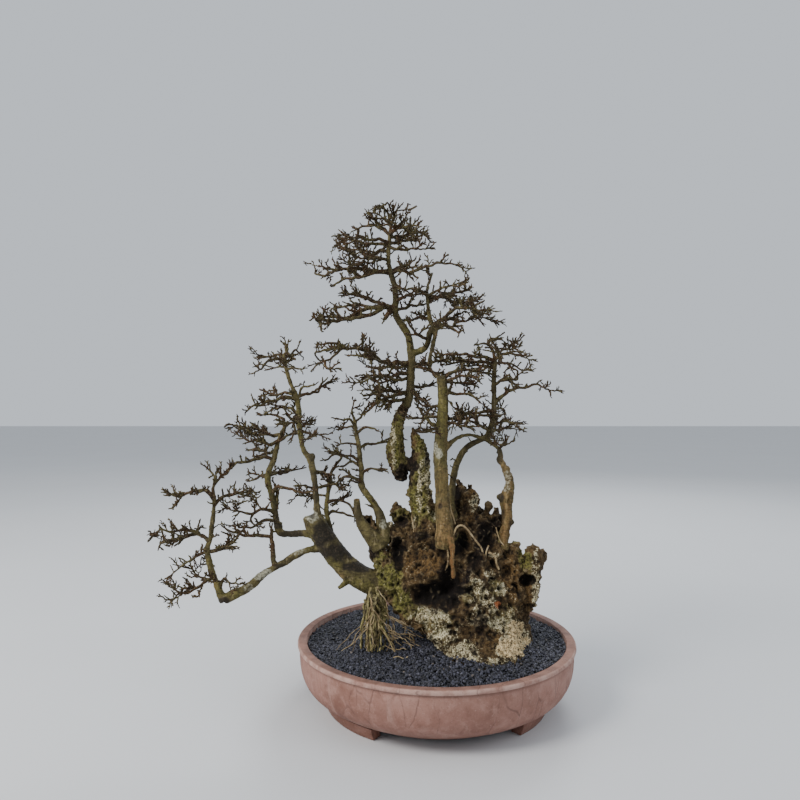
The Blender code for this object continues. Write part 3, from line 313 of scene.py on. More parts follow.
# ---- Drainage screens and their wires --------------------------------------------------------------
# Squares of black plastic mesh over the holes in the pot's floor, each held by a bent aluminium wire
# whose ends are folded out under the pot.
plastic, shader, at = start_finish("black_mesh")
dust = grain(at, 160, 3)
color = blend(ramp(dust, 0.45, 0.7), (0.010, 0.010, 0.011), (0.045, 0.038, 0.034))
end_finish(shader, color, 0.45 + dust * 0.25, dust, 0.0002)
wire, shader, at = start_finish("dull_wire")
worn = grain(at, 240, 3)
color = blend(ramp(worn, 0.4, 0.65), (0.36, 0.33, 0.30), (0.56, 0.53, 0.49))
end_finish(shader, color, 0.30 + worn * 0.3, worn, 0.0001, metal=1.0)
stones, shader, at = start_finish("drainage_gravel")
cell = at.node("ShaderNodeTexVoronoi", {}, {"Vector": at, "Scale": 140.0})
color = blend(ramp(grain(at, 150, 2), 0.4, 0.6), (0.07, 0.05, 0.045), (0.20, 0.17, 0.15))
end_finish(shader, color, 0.95 - cell * 0.1, cell * -1, 0.002)
inside = {"drainage_layer": stones}
for number in (1, 2, 3):
    inside["screen_%d" % number], inside["staple_%d" % number] = plastic, wire
for node, mat in inside.items():
    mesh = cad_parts[node].data
    mesh.materials.clear()
    mesh.materials.append(mat)

# ---- Grit ------------------------------------------------------------------------------------------
# The pot is filled with sharp black grit, coarse sand to small gravel, lower at the wall than at the
# stump. It is a dark bed with thousands of loose angular grains lying on it.
GRAIN_SIZE = (0.0013, 0.0025)       # radius
GRAIN_SHAPE = ((0.8, 1.25), (0.7, 1.1), (0.55, 0.95))       # length, width and height, as shares of it
GRAINS = 25500
BATCH = 100                         # grains that are made at a time
BED_DEPTH = 0.0022                  # of the bed's top below the surface
BED_BOTTOM = 0.0375                 # height of the bed's underside
BED_TAPER = 0.885                   # its underside is narrower by this share
STUMP_AT = AXIS + Vector((0.058, -0.040, 0))
WALL_LEVEL = POT_HEIGHT - 0.008
MOUND = 0.013                       # height of the surface at the stump above that at the wall
edge = inner - 0.0008               # radius of the grit's surface


def ground(x, y):
    """The height of the grit's surface."""
    away = ((x - STUMP_AT.x) ** 2 + (y - STUMP_AT.y) ** 2) ** 0.5 / 0.125
    hill = 1.0 if away < 0.75 else max(0.0, min(1.0, 1.75 - away)) ** 2
    lumps = noise.noise(Vector((x * 22, y * 22, 0))) * 0.0022 + noise.noise(Vector((x * 70, y * 70, 5))) * 0.0010
    return WALL_LEVEL + MOUND * hill + 0.001 * sin(41 * x + 23 * y) + lumps


grit, shader, at = start_finish("black_grit")
tone = painted(at, "tone")
fine = grain(at, 900, 2)
color = blend(ramp(tone, 0.25, 1.0), (0.0012, 0.0012, 0.0020), (0.058, 0.059, 0.084))
color = blend(ramp(tone, 0.90, 0.98) * 0.6, color, (0.125, 0.125, 0.160))
color = blend(ramp(tone, 0.990, 0.996), color, (0.14, 0.115, 0.095))
color = blend(ramp(fine, 0.52, 0.66) * 0.5, color, (0.120, 0.122, 0.158))
end_finish(shader, color, 0.42 + fine * 0.35, fine, 0.0005)

bm = bmesh.new()        # the bed under the grains
bmesh.ops.create_circle(bm, cap_ends=True, segments=96, radius=edge)
bmesh.ops.inset_region(bm, faces=bm.faces, thickness=0.004)
for ring in range(22):
    core = max(bm.faces, key=lambda f: len(f.verts))
    bmesh.ops.inset_region(bm, faces=[core], thickness=0.009)
bmesh.ops.translate(bm, vec=AXIS, verts=bm.verts)
for vert in bm.verts:
    vert.co.z = ground(vert.co.x, vert.co.y) - BED_DEPTH
bed = bmesh.ops.extrude_face_region(bm, geom=bm.faces[:])["geom"]
for vert in bed:
    if isinstance(vert, bmesh.types.BMVert):
        vert.co.z = BED_BOTTOM
        vert.co.xy = AXIS.xy + (vert.co.xy - AXIS.xy) * BED_TAPER
bmesh.ops.recalc_face_normals(bm, faces=bm.faces)
layer = bm.verts.layers.float.new("tone")
for vert in bm.verts:
    vert[layer] = 0.1
piece("grit_bed", bm, grit, "grit", "soil", angle=60)

random.seed(11)
spare = bpy.data.meshes.new("spare")
for part in range(3):
    bm = bmesh.new()
    for batch in range(GRAINS // 3 // BATCH):
        few = bmesh.new()
        layer = few.verts.layers.float.new("tone")
        for number in range(BATCH):
            turn, out = random.uniform(0, 2 * pi), edge * random.random() ** 0.5 - 0.0018
            x, y = AXIS.x + out * cos(turn), AXIS.y + out * sin(turn)
            size = random.uniform(*GRAIN_SIZE) * (0.75 if random.random() < 0.3 else 1.0)
            turned = Vector([random.gauss(0, 1) for axis in range(3)]).to_track_quat("X", "Z").to_matrix().to_4x4()
            shape = Matrix.Diagonal([size * random.uniform(*share) for share in GRAIN_SHAPE] + [1])
            pose = Matrix.Translation((x, y, ground(x, y) + random.uniform(-0.0018, 0.0010))) @ turned @ shape
            made = bmesh.ops.create_icosphere(few, subdivisions=1, radius=1.0, matrix=pose)
            shade = random.random()
            for vert in made["verts"]:
                vert.co += Vector([random.uniform(-0.28, 0.28) * size for axis in range(3)])
                vert[layer] = shade
        few.to_mesh(spare)
        few.free()
        bm.from_mesh(spare)
    grains = piece("grit_grains_%d" % (part + 1), bm, grit, "grit", "soil")
    grains.data.shade_flat()
bpy.data.meshes.remove(spare)


# ---- Stump and stems -------------------------------------------------------------------------------
# The tree is one growth: a hollow, craggy stump with live and dead stems on it. Each stem is set out
# as it looks from the tree's front, in millimetres across from the pot's middle and up from the ground,
# with its radius; its depth runs evenly from its foot to its tip.
EYE = (-59.0, -1160.0, 491.0)       # the point the tree is seen from
# name: (parent stem or depth of the foot, depth of the tip, [(across, up, radius), ...])
STEMS = {
    "left_log": (-30, -50, [(-80, 182, 24), (-110, 191, 21), (-138, 207, 19.5), (-161, 230, 19),
        (-182, 257, 19), (-198, 284, 18), (-206, 301, 15)]),
    "log_spur": ("left_log", -58, [(-140, 198, 7), (-152, 186, 5), (-161, 179, 3)]),
    "cascade": ("left_log", -80, [(-192, 246, 7.8), (-212, 242, 5.1), (-232, 234, 6.5), (-250, 222, 6),
        (-270, 212, 5.1), (-288, 200, 6.5), (-302, 187, 7.4), (-318, 176, 7.9), (-336, 168, 8.8),
        (-350, 161, 8.4)]),
    "cascade_riser": ("cascade", -72, [(-350, 160, 7.9), (-357, 170, 6.6), (-363, 187, 5.5), (-370, 206, 5.1),
        (-376, 226, 5.1), (-379, 243, 4.7), (-374, 258, 3.9), (-371, 277, 3.9), (-369, 297, 3.9),
        (-367, 317, 3.5), (-367, 332, 3.1)]),
    "left_elbow": ("left_log", -10, [(-198, 269, 8.2), (-220, 270, 5.9), (-241, 269, 5.5), (-257, 271, 6.3),
        (-262, 283, 6.3), (-265, 298, 5.2), (-268, 315, 5.2), (-271, 332, 5.2), (-276, 349, 5.2),
        (-278, 363, 5.2), (-274, 379, 4.8), (-267, 394, 4.4), (-264, 409, 4.1), (-261, 422, 3.7),
        (-256, 434, 3.7), (-250, 446, 3.3), (-244, 456, 3)]),
    "left_leader": ("left_log", -45, [(-196, 296, 8.4), (-197, 318, 5.2), (-199, 340, 5.2), (-201, 360, 5.2),
        (-204, 378, 5.6), (-206, 392, 6), (-207, 402, 4.8)]),
    "left_leader_top": ("left_leader", -35, [(-206, 386, 4.7), (-213, 398, 4.1), (-220, 412, 4.1),
        (-223, 426, 4.5), (-225, 441, 4.5), (-227, 456, 4.9), (-227, 471, 4.9), (-228, 486, 4.5),
        (-232, 499, 4.5), (-238, 513, 3.7), (-243, 527, 3.7), (-247, 541, 3.3), (-250, 556, 2.9),
        (-252, 568, 2)]),
    "inner_left": ("left_log", -5, [(-160, 236, 3.8), (-167, 252, 4.2), (-172, 270, 4.2), (-178, 290, 4.2),
        (-181, 307, 4.2), (-180, 326, 3.8), (-177, 345, 3.8), (-176, 362, 3.4)]),
    "shoulder_ridge": (-60, -28, [(-35, 132, 19), (-57, 160, 18), (-75, 190, 17), (-88, 215, 14),
        (-95, 240, 13), (-98, 262, 12)]),
    "small_tree": ("shoulder_ridge", -15, [(-94, 252, 11.5), (-84, 264, 11.4), (-89, 282, 9.7),
        (-92, 298, 7.9), (-98, 313, 6.2), (-107, 326, 5.7), (-116, 338, 5.7), (-122, 349, 5.7),
        (-123, 363, 4.4), (-123, 380, 4.4), (-126, 396, 4.4), (-127, 412, 4), (-130, 428, 4),
        (-133, 445, 3.5), (-135, 462, 2.6)]),
    "knob_stub": ("shoulder_ridge", -38, [(-92, 246, 15), (-106, 266, 14), (-120, 283, 10), (-127, 297, 7.5),
        (-130, 312, 6), (-131, 327, 5.5)]),
    "knob_hollow": ("shoulder_ridge", -30, [(-98, 262, 14), (-108, 281, 15), (-114, 297, 10)]),
    "spire": (-12, 5, [(-14, 240, 30), (-17, 285, 23), (-22, 325, 20), (-25, 360, 18), (-26, 392, 17),
        (-28, 414, 13), (-35, 432, 7), (-38, 447, 3)]),
    "hanging_trunk": (12, 12, [(-57, 359, 9), (-59, 374, 15), (-64, 392, 17), (-67, 410, 16),
        (-65, 429, 12.5), (-63, 447, 11.5), (-60, 461, 11), (-53, 475, 9), (-46, 488, 8)]),
    "trunk_bridge": ("hanging_trunk", 0, [(-58, 388, 12), (-42, 385, 11), (-28, 378, 12)]),
    "main_leader": ("hanging_trunk", 0, [(-50, 480, 8.2), (-44, 495, 7), (-42, 512, 7), (-41, 530, 7),
        (-40, 547, 7), (-40, 563, 6.6), (-42, 580, 6.2), (-45, 597, 5.7), (-53, 611, 6.2), (-62, 624, 5.7),
        (-67, 638, 5.3), (-66, 655, 5.3), (-67, 672, 4.8), (-70, 688, 4.8), (-75, 704, 4.4), (-78, 720, 4),
        (-78, 737, 4), (-77, 752, 3.5), (-76, 768, 3.1)]),
    "apex_right": ("main_leader", -10, [(-41, 568, 6), (-27, 572, 5.5), (-17, 578, 5), (-12, 590, 5),
        (-9, 603, 5), (-3, 614, 4.5), (5, 621, 4), (15, 627, 3.5)]),
    "straight_stem": ("apex_right", -10, [(3, 615, 3.5), (-1, 597, 3.5), (-5, 580, 3.5), (-9, 562, 3.5),
        (-11, 542, 3.5)]),
    "apex_stem": ("apex_right", -10, [(-4, 612, 4), (-9, 625, 4), (-12, 640, 3.5), (-13, 655, 3.5),
        (-15, 668, 3)]),
    "pole": (-62, -45, [(14, 245, 14.5), (15, 262, 16.5), (15, 280, 14.5), (12, 310, 13), (11, 340, 12),
        (9, 375, 11.5), (8, 400, 11.5), (9, 425, 11), (11, 450, 9.8), (12, 480, 9), (12, 505, 8.5),
        (10, 522, 8.5), (9, 531, 7)]),
    "right_arch": (-15, -25, [(30, 288, 10), (24, 320, 7.7), (28, 350, 6.2), (33, 378, 5.3), (41, 399, 5.3),
        (53, 414, 5.3), (66, 421, 4.8), (78, 426, 4.4), (86, 433, 4.4), (91, 445, 4.8), (95, 460, 4.8),
        (97, 478, 4.4), (97, 495, 4.4), (96, 512, 4.4), (97, 530, 4), (98, 548, 4), (98, 562, 3.5)]),
    "right_twist": (-30, -22, [(108, 245, 13), (112, 262, 10), (116, 278, 8.5), (119, 293, 9),
        (118, 308, 9.5), (117, 321, 10.5), (118, 333, 10.5), (122, 346, 8), (122, 359, 7), (118, 371, 6),
        (112, 382, 5.5), (107, 393, 5), (108, 404, 4), (102, 413, 3.5), (93, 419, 3.5), (83, 427, 3.5)]),
    "low_arch": ("pole", -22, [(14, 408, 5), (26, 421, 4.5), (38, 429, 3.5), (54, 433, 3), (68, 431, 3),
        (80, 426, 3.5)]),
    "horn": (-35, -48, [(138, 140, 18), (152, 165, 15), (157, 190, 15), (160, 215, 16), (163, 236, 13),
        (160, 252, 5)]),
    "horn_tip": ("horn", -50, [(160, 225, 12), (172, 232, 8), (180, 238, 5)]),
    "crag_a": (5, 10, [(40, 245, 34), (42, 295, 20), (42, 332, 14), (38, 360, 4)]),
    "crag_b": (-8, -5, [(52, 290, 18), (58, 328, 10), (56, 352, 4)]),
    "crag_c": (5, 10, [(74, 240, 30), (72, 285, 18), (74, 313, 6)]),
    "crag_d": (-12, -8, [(98, 225, 30), (100, 275, 17), (100, 314, 5)]),
    "crag_e": (-22, -26, [(118, 200, 26), (126, 235, 17), (132, 258, 8)]),
    "crag_f": (-6, 0, [(82, 280, 9), (85, 303, 5), (87, 318, 2.5)]),
    "left_peak": (-8, 0, [(-42, 275, 20), (-56, 297, 15), (-66, 310, 10), (-70, 318, 5)]),
    "grey_shard": (-30, -20, [(-62, 255, 14), (-76, 277, 10), (-84, 285, 5)]),
    "warm_root": (-78, -88, [
        (24, 264, 5), (27, 250, 4.6), (28, 238, 4.0), (27, 224, 3.4), (28, 212, 3.4), (29, 202, 4.2),
        (29, 195, 2.6)]),
}


def place(across, up, depth):
    """A point's place in metres: it is moved along the sight line to its depth."""
    k = 1.0 + depth / -EYE[1]
    return Vector((AXIS.x + ((across - EYE[0]) * k + EYE[0]) / 1000, AXIS.y + depth / 1000,
                   ((up - EYE[2]) * k + EYE[2]) / 1000))


def drawn(spot):
    """Where a point is seen from the front: across, up and depth, in millimetres."""
    depth = (spot.y - AXIS.y) * 1000
    k = 1.0 + depth / -EYE[1]
    return (((spot.x - AXIS.x) * 1000 - EYE[0]) / k + EYE[0], (spot.z * 1000 - EYE[2]) / k + EYE[2], depth)


paths = {}


def depth_on(stem, across, up):
    """The depth of the point of a stem that is seen nearest to a point."""
    best = (1e9, 0.0)
    for (x0, z0, r0, y0), (x1, z1, r1, y1) in zip(paths[stem], paths[stem][1:]):
        t = ((across - x0) * (x1 - x0) + (up - z0) * (z1 - z0)) / ((x1 - x0) ** 2 + (z1 - z0) ** 2)
        t = min(1.0, max(0.0, t))
        away = (x0 + t * (x1 - x0) - across) ** 2 + (z0 + t * (z1 - z0) - up) ** 2
        best = min(best, (away, y0 + t * (y1 - y0)))
    return best[1]


def lay_out(name, foot, tip, points):
    """Keep a stem's path with a depth at each point."""
    start = depth_on(foot, points[0][0], points[0][1]) if isinstance(foot, str) else foot
    reach = [0.0]
    for (x0, z0, r0), (x1, z1, r1) in zip(points, points[1:]):
        reach.append(reach[-1] + ((x1 - x0) ** 2 + (z1 - z0) ** 2) ** 0.5)
    paths[name] = [(x, z, r, start + (tip - start) * s / reach[-1]) for (x, z, r), s in zip(points, reach)]


def smooth_path(name, step):
    """A stem's points in metres on a smooth curve through its own, about a step apart, with radii."""
    knots = [(place(x, z, y), r / 1000 * (1 + y / -EYE[1])) for x, z, r, y in paths[name]]
    knots = [(knots[0][0] * 2 - knots[1][0], knots[0][1])] + knots + [(knots[-1][0] * 2 - knots[-2][0], knots[-1][1])]
    out = []
    for (p0, r0), (p1, r1), (p2, r2), (p3, r3) in zip(knots, knots[1:], knots[2:], knots[3:]):
        count = max(1, round((p2 - p1).length / step))
        for i in range(count):
            t = i / count
            spot = 0.5 * (2 * p1 + (p2 - p0) * t + (2 * p0 - 5 * p1 + 4 * p2 - p3) * t * t
                          + (3 * p1 - p0 - 3 * p2 + p3) * t ** 3)
            out.append((spot, r1 + (r2 - r1) * t * t * (3 - 2 * t)))
    return out + [knots[-2]]


def tubes(lines, sides):
    """Round tapered bars with closed ends, each along points with radii, in one bmesh."""
    curve = bpy.data.curves.new("bars", "CURVE")
    curve.dimensions = "3D"
    curve.bevel_depth = 1.0
    curve.bevel_resolution = (sides - 4) // 2
    curve.use_fill_caps = True
    for points in lines:
        line = curve.splines.new("POLY")
        line.points.add(len(points) - 1)
        line.points.foreach_set("co", [v for spot, radius in points for v in (*spot, 1.0)])
        line.points.foreach_set("radius", [radius for spot, radius in points])
    obj = add("bars", curve)
    bm = bmesh.new()
    bm.from_mesh(obj.to_mesh())
    obj.to_mesh_clear()
    bpy.data.objects.remove(obj)
    return bm


def remeshed(bm, grid):
    """Melt overlapping shapes into one skin, with quads of the grid's size."""
    obj = add_mesh("melt", bm)
    step = obj.modifiers.new("melt", "REMESH")
    step.mode, step.voxel_size, step.use_smooth_shade = "VOXEL", grid, True
    return changed(obj)


def soft(value, low, high):
    """0 at low, 1 at high, eased."""
    t = min(1.0, max(0.0, (value - low) / (high - low)))
    return t * t * (3 - 2 * t)


def near(spots, across, up, core, reach, ragged=0.0):
    """The strengths at a point of ovals: each is whole inside its core and fades out to its reach."""
    for x, z, wide, tall, strength in spots:
        off = (((across - x) / wide) ** 2 + ((up - z) / tall) ** 2) ** 0.5 + ragged
        if off < reach:
            yield strength * (1 - soft(off, core, reach))


for name, (foot, tip, points) in STEMS.items():
    lay_out(name, foot, tip, points)

STUMP_STEMS = [
    "shoulder_ridge", "spire", "hanging_trunk", "trunk_bridge", "horn", "horn_tip", "crag_a", "crag_b",
    "crag_c", "crag_d", "crag_e", "crag_f", "left_peak", "grey_shard", "knob_hollow"]
STUMP_GRID, STEM_GRID, ROOT_GRID = 0.0019, 0.00135, 0.0016      # size of the quads of each skin
# rings of the stump: height, left, right, front, back, in mm from the pot's middle
STUMP = [
    (84, -2, 142, -130, 60), (100, -6, 150, -142, 68), (108, -8, 149, -139, 66), (118, -17, 144, -130, 64),
    (130, -33, 141, -120, 62), (142, -50, 142, -113, 62), (158, -66, 146, -108, 60),
    (178, -79, 150, -102, 58), (205, -88, 148, -94, 56), (230, -88, 138, -82, 52), (250, -78, 124, -70, 46),
    (272, -54, 108, -57, 38), (292, -38, 96, -42, 28), (302, -24, 78, -30, 18)]
bm = bmesh.new()
rings = []
for height, left, right, front, back in STUMP:
    made = bmesh.ops.create_circle(bm, segments=48, radius=1.0)["verts"]
    for vert in made:
        turn = Vector((1, 0)).angle_signed(vert.co.xy) * -1
        lobe = 1 + 0.05 * sin(5 * turn + 0.012 * height) + 0.03 * sin(9 * turn - 0.03 * height)
        vert.co = (AXIS.x + ((left + right) / 2 + (right - left) / 2 * vert.co.x * lobe) / 1000,
                   AXIS.y + ((front + back) / 2 + (back - front) / 2 * vert.co.y * lobe) / 1000, height / 1000)
    rings.append(list({e for v in made for e in v.link_edges}))
for lower, upper in zip(rings, rings[1:]):
    bmesh.ops.bridge_loops(bm, edges=lower + upper)
bmesh.ops.holes_fill(bm, edges=[e for e in bm.edges if e.is_boundary], sides=0)
bmesh.ops.recalc_face_normals(bm, faces=bm.faces)
crags = tubes([smooth_path(name, 0.006) for name in STUMP_STEMS], 12)
spare = bpy.data.meshes.new("spare")
crags.to_mesh(spare)
crags.free()
bm.from_mesh(spare)
bm = remeshed(bm, STUMP_GRID)
for turn in range(3):
    bmesh.ops.smooth_vert(bm, verts=bm.verts, factor=0.5, use_axis_x=True, use_axis_y=True, use_axis_z=True)

# hollows and ledges on the front: across, up, half width, half height, depth in mm
HOLLOWS = [
    (4, 164, 42, 28, 23), (26, 184, 22, 34, 20), (-30, 168, 22, 20, 9), (-62, 238, 13, 30, 16),
    (-12, 236, 40, 28, 11), (36, 330, 8, 20, 12), (45, 250, 16, 26, 16), (62, 225, 13, 18, 13),
    (84, 262, 18, 34, 15), (92, 216, 11, 14, 11), (70, 205, 8, 12, 8), (118, 205, 11, 14, 11),
    (151, 192, 15, 11, 15), (118, 232, 9, 10, 9), (132, 178, 8, 12, 9), (60, 170, 12, 12, 8),
    (82, 160, 9, 11, 7), (118, 150, 8, 8, 6), (97, 190, 9, 9, 7), (80, 95, 20, 22, 5), (30, 148, 16, 7, 6),
    (-56, 290, 11, 9, 9), (-112, 292, 8, 9, 9), (60, 128, 9, 12, 5), (142, 150, 8, 8, 6),
    (150, 224, 7, 12, 6), (-24, 212, 14, 9, 7), (-96, 152, 18, 22, 12), (112, 118, 7, 8, 4),
    (24, 112, 8, 9, 3.5)]
SWELLS = [
    (-16, 214, 34, 24, 11), (27, 236, 8, 20, 5), (82, 62, 44, 9, 4), (-76, 195, 14, 40, 6),
    (108, 170, 9, 10, 5), (75, 188, 9, 8, 6), (128, 88, 26, 20, 4), (60, 145, 14, 8, 5), (12, 158, 22, 6, 5),
    (104, 240, 8, 12, 7), (140, 205, 7, 16, 5), (-32, 232, 10, 16, 6), (60, 195, 5, 9, 6), (86, 175, 6, 9, 5)]
bm.normal_update()
normals = [v.normal.copy() for v in bm.verts]
layer = bm.verts.layers.float.new("cavity_shade")
for vert, normal in zip(bm.verts, normals):
    spot = vert.co.copy()
    across, up, depth = drawn(spot)
    low_down = soft(spot.z, 0.112, 0.135)
    above = soft(up, 330, 380)
    facing = soft(-normal.y, -0.15, 0.35) if depth < 20 else 0.0
    push = Vector((0, 0, 0))
    if facing:
        wander = noise.noise(spot * 70) * 0.22
        push.y += sum(near(HOLLOWS, across, up, 0.35, 1.15, wander)) / 1000 * facing
        push.y -= sum(near(SWELLS, across, up, 0.2, 1.15, wander)) / 1000 * facing
    big = noise.fractal(spot * 26, 1.0, 2.0, 3) * 0.0062
    ridge = (0.40 - abs(noise.noise(spot * 62))) * 0.0080
    knob = max(0.0, 1 - noise.voronoi(spot * 95)[0][0] * 2.2) * 0.0045
    pit = -max(0.0, 1 - noise.voronoi(spot * 70 + Vector((3, 3, 3)))[0][0] * 2.4) * 0.0065
    crust = (noise.turbulence(spot * 190, 3, False) - 0.5) * 0.0026
    fine = noise.noise(Vector((spot.x * 700, spot.y * 700, spot.z * 160))) * 0.0006
    rugged = (0.35 + 0.65 * low_down) * (1 - 0.75 * above)
    vert.co = spot + push + normal * ((big + ridge + knob + pit) * rugged + crust + fine)
    # painted shade: how deep each point lies in a crevice or hollow; it darkens the colour below
    vert[layer] = min(1.0, max(0.0, -0.15 - (ridge + knob + pit + crust) * rugged / 0.0060 + push.y / 0.016))
bm.normal_update()

# how weathered, mossy, rotten and lichened each part of the stump is; the rot patches lie mostly in the hollows and
# behind the hanging roots, and there they are painted shade as well as rotten wood
ROT_AND_SHADE = [
    (0, 168, 46, 20, 1.0), (32, 182, 22, 34, 1.0), (18, 205, 14, 16, 0.9), (-64, 238, 12, 30, 0.95),
    (36, 330, 10, 22, 1.0), (45, 252, 14, 26, 0.8), (84, 270, 26, 40, 0.8), (66, 225, 18, 20, 0.7),
    (151, 192, 14, 9, 1.0), (-56, 290, 14, 10, 0.85), (-112, 292, 10, 11, 1.0), (-53, 365, 18, 20, 1.0),
    (-38, 385, 9, 26, 1.0), (-106, 245, 12, 24, 0.9), (-96, 155, 16, 22, 1.0), (104, 290, 12, 22, 0.85),
    (40, 355, 9, 10, 0.8), (-20, 265, 24, 9, 0.8), (74, 108, 15, 34, 0.75), (20, 148, 20, 7, 0.8),
    (-118, 232, 14, 20, 0.8), (-12, 400, 6, 26, 0.7), (50, 310, 8, 14, 0.5)]
MOSS = [
    (-78, 195, 20, 44, 1.0), (-58, 160, 24, 22, 1.0), (-36, 140, 22, 14, 0.7), (-22, 350, 24, 76, 0.9),
    (-64, 420, 20, 56, 0.6), (-66, 400, 8, 30, 0.9), (40, 258, 9, 14, 0.9), (-60, 300, 16, 14, 0.7),
    (-95, 225, 12, 30, 0.7), (148, 225, 14, 20, 0.8), (-30, 300, 18, 20, 0.6), (128, 258, 14, 8, 0.5),
    (100, 178, 14, 14, 0.5), (110, 125, 30, 26, 0.35), (0, 120, 30, 26, 0.4), (60, 165, 30, 20, 0.3)]
WARM = [
    (-20, 218, 34, 28, 0.75), (58, 320, 12, 34, 0.8), (128, 195, 20, 44, 0.8), (160, 170, 12, 50, 0.6),
    (-16, 112, 20, 20, 0.9), (100, 95, 26, 26, 0.9), (-26, 422, 14, 18, 0.8), (-95, 270, 14, 24, 0.5),
    (-95, 190, 16, 20, 0.35), (90, 235, 14, 10, 0.7)]
PALE = [
    (8, 95, 34, 30, 0.8), (44, 76, 26, 18, 1.0), (-12, 132, 30, 18, 0.8), (70, 165, 22, 30, 0.7),
    (112, 118, 30, 24, 0.7), (124, 84, 32, 20, 2.0), (138, 100, 14, 30, 1.9), (112, 92, 12, 20, 1.3),
    (84, 58, 44, 7, 0.9), (96, 150, 14, 18, 0.6), (66, 130, 18, 16, 0.5), (108, 176, 12, 10, 0.9),
    (-85, 285, 14, 8, 1.2), (-65, 257, 7, 6, 1.2), (166, 190, 6, 50, 1.1), (60, 320, 10, 14, 0.7),
    (-36, 290, 4, 14, 0.8), (98, 235, 10, 5, 0.8), (-12, 360, 8, 54, 1.0), (-70, 410, 5, 40, 0.8),
    (-26, 340, 5, 44, 0.9), (-2, 330, 5, 30, 0.7), (-86, 255, 8, 14, 0.6), (36, 166, 24, 4, 0.7),
    (90, 200, 12, 10, 0.5)]
RUST = [(103, 153, 6, 9, 1.0), (-22, 92, 8, 8, 0.6), (104, 92, 8, 7, 0.45)]
masks = {"rot": ROT_AND_SHADE, "moss": MOSS, "warm": WARM, "pale": PALE, "rust": RUST}
layers = {name: bm.verts.layers.float.new(name) for name in masks}
for vert in bm.verts:
    across, up, depth = drawn(vert.co)
    ragged = noise.fractal(vert.co * 48, 0.9, 2.1, 5) * 0.75
    behind = soft(depth, 15, 45)
    for name, spots in masks.items():
        here = max(near(spots, across, up, 0.55, 1.15, ragged), default=0.0)
        if behind and up < 330:
            there = soft(noise.fractal(vert.co * 30 + Vector((len(name), 0, 0)), 1.0, 2.0, 3), 0.05, 0.5)
            here = here * (1 - behind) + there * behind * (0.0 if name == "rust" else 0.8)
        vert[layers[name]] = here

bark, shader, at = start_finish("stump_wood")
rot, moss, warm, pale, rust, cavity_shade = (painted(at, name) for name in [*masks, "cavity_shade"])
mottle = grain(at, 75, 5, 0.65)
crumb = grain(at, 270, 4, 0.7)
speck = grain(at, 560, 3, 0.6)
fibre = grain(at, 220, 4, 0.6, (1, 1, 0.22), 0.5)
blot = grain(at, 24, 4, 0.6)
color = blend(ramp(mottle, 0.38, 0.62), (0.017, 0.010, 0.005), (0.108, 0.067, 0.028))
color = blend(ramp(fibre, 0.52, 0.66) * 0.5, color, (0.205, 0.145, 0.070))
russet = blend(ramp(crumb, 0.40, 0.62), (0.060, 0.030, 0.010), (0.225, 0.130, 0.045))
color = blend(warm * ramp(mottle, 0.36, 0.58), color, russet)
olive = blend(ramp(fibre, 0.36, 0.60), (0.085, 0.067, 0.022), (0.330, 0.270, 0.112))
color = blend(ramp(moss, 0.05, 0.55) * ramp(mottle, 0.34, 0.54) * 0.85, color, olive)
green = blend(ramp(crumb, 0.42, 0.62), (0.036, 0.037, 0.008), (0.200, 0.185, 0.045))
color = blend(ramp(moss * 0.45 + mottle * 1.3 + crumb * 0.9, 1.20, 1.50) * ramp(moss, 0.1, 0.4) * 0.9, color, green)
lichen = blend(ramp(speck, 0.40, 0.60), (0.23, 0.190, 0.095), (0.76, 0.68, 0.46))
lichen = blend(ramp(grain(at, 130, 4, 0.6), 0.52, 0.62) * 0.7, lichen, (0.30, 0.29, 0.17))
cream = blend(ramp(speck, 0.38, 0.58), (0.30, 0.195, 0.085), (0.86, 0.67, 0.38))
lichen = blend(ramp(pale, 1.0, 1.7), lichen, cream)
pattern = mottle * 0.36 + crumb * 0.40 + speck * 0.24
color = blend(ramp(pale, 0.05, 0.8) * ramp(pattern, 0.44, 0.52) * 0.55, color, (0.175, 0.140, 0.068))
color = blend(ramp(pattern + pale * 0.045, 0.530, 0.565) * ramp(pale, 0.0, 0.35), color, lichen)
color = blend(ramp(pattern, 0.575, 0.615) * ramp(blot, 0.36, 0.56) * 0.85, color, lichen)
color = blend(ramp(rust + (crumb - 0.5) * 1.6, 0.45, 0.80) * 0.75, color, (0.40, 0.11, 0.035))
color = blend(ramp(crumb, 0.44, 0.37) * 0.85, color, (0.012, 0.008, 0.005))
black = blend(ramp(crumb, 0.50, 0.72), (0.0055, 0.0028, 0.0018), (0.046, 0.024, 0.012))
# rotten wood, and painted shade in the hollows and behind the roots, near black
color = blend(ramp(rot + (mottle - 0.5) * 1.1, 0.30, 0.80) * 0.97, color, black)
# painted shade in crevices and hollows
color = blend(ramp(cavity_shade + (mottle - 0.5) * 0.6, 0.10, 0.85) * 0.90, color, (0.0050, 0.0030, 0.0020))
curvature_shading = at.node("ShaderNodeNewGeometry", {}, {}, output=7)      # pointiness: painted shade in dips and a painted highlight on ridges
color = blend(ramp(curvature_shading, 0.49, 0.42) * 0.8, color, (0.008, 0.006, 0.004))
color = blend(ramp(curvature_shading, 0.53, 0.60) * 0.25, color, (0.42, 0.33, 0.19))
end_finish(shader, color, 0.92 - rot * 0.15, crumb + fibre * 0.4 + mottle * 0.6 + speck * 0.4, 0.0028, shine=0.2)
piece("stump", bm, bark, "bark", "tree")

# The round stems, live and dead: smooth olive or grey bark with knots and cut ends.
SLIM = [name for name in STEMS if name not in STUMP_STEMS]
random.seed(5)
bm = tubes([smooth_path(name, 0.004) for name in SLIM], 16)
bm = remeshed(bm, STEM_GRID)
for turn in range(2):
    bmesh.ops.smooth_vert(bm, verts=bm.verts, factor=0.5, use_axis_x=True, use_axis_y=True, use_axis_z=True)
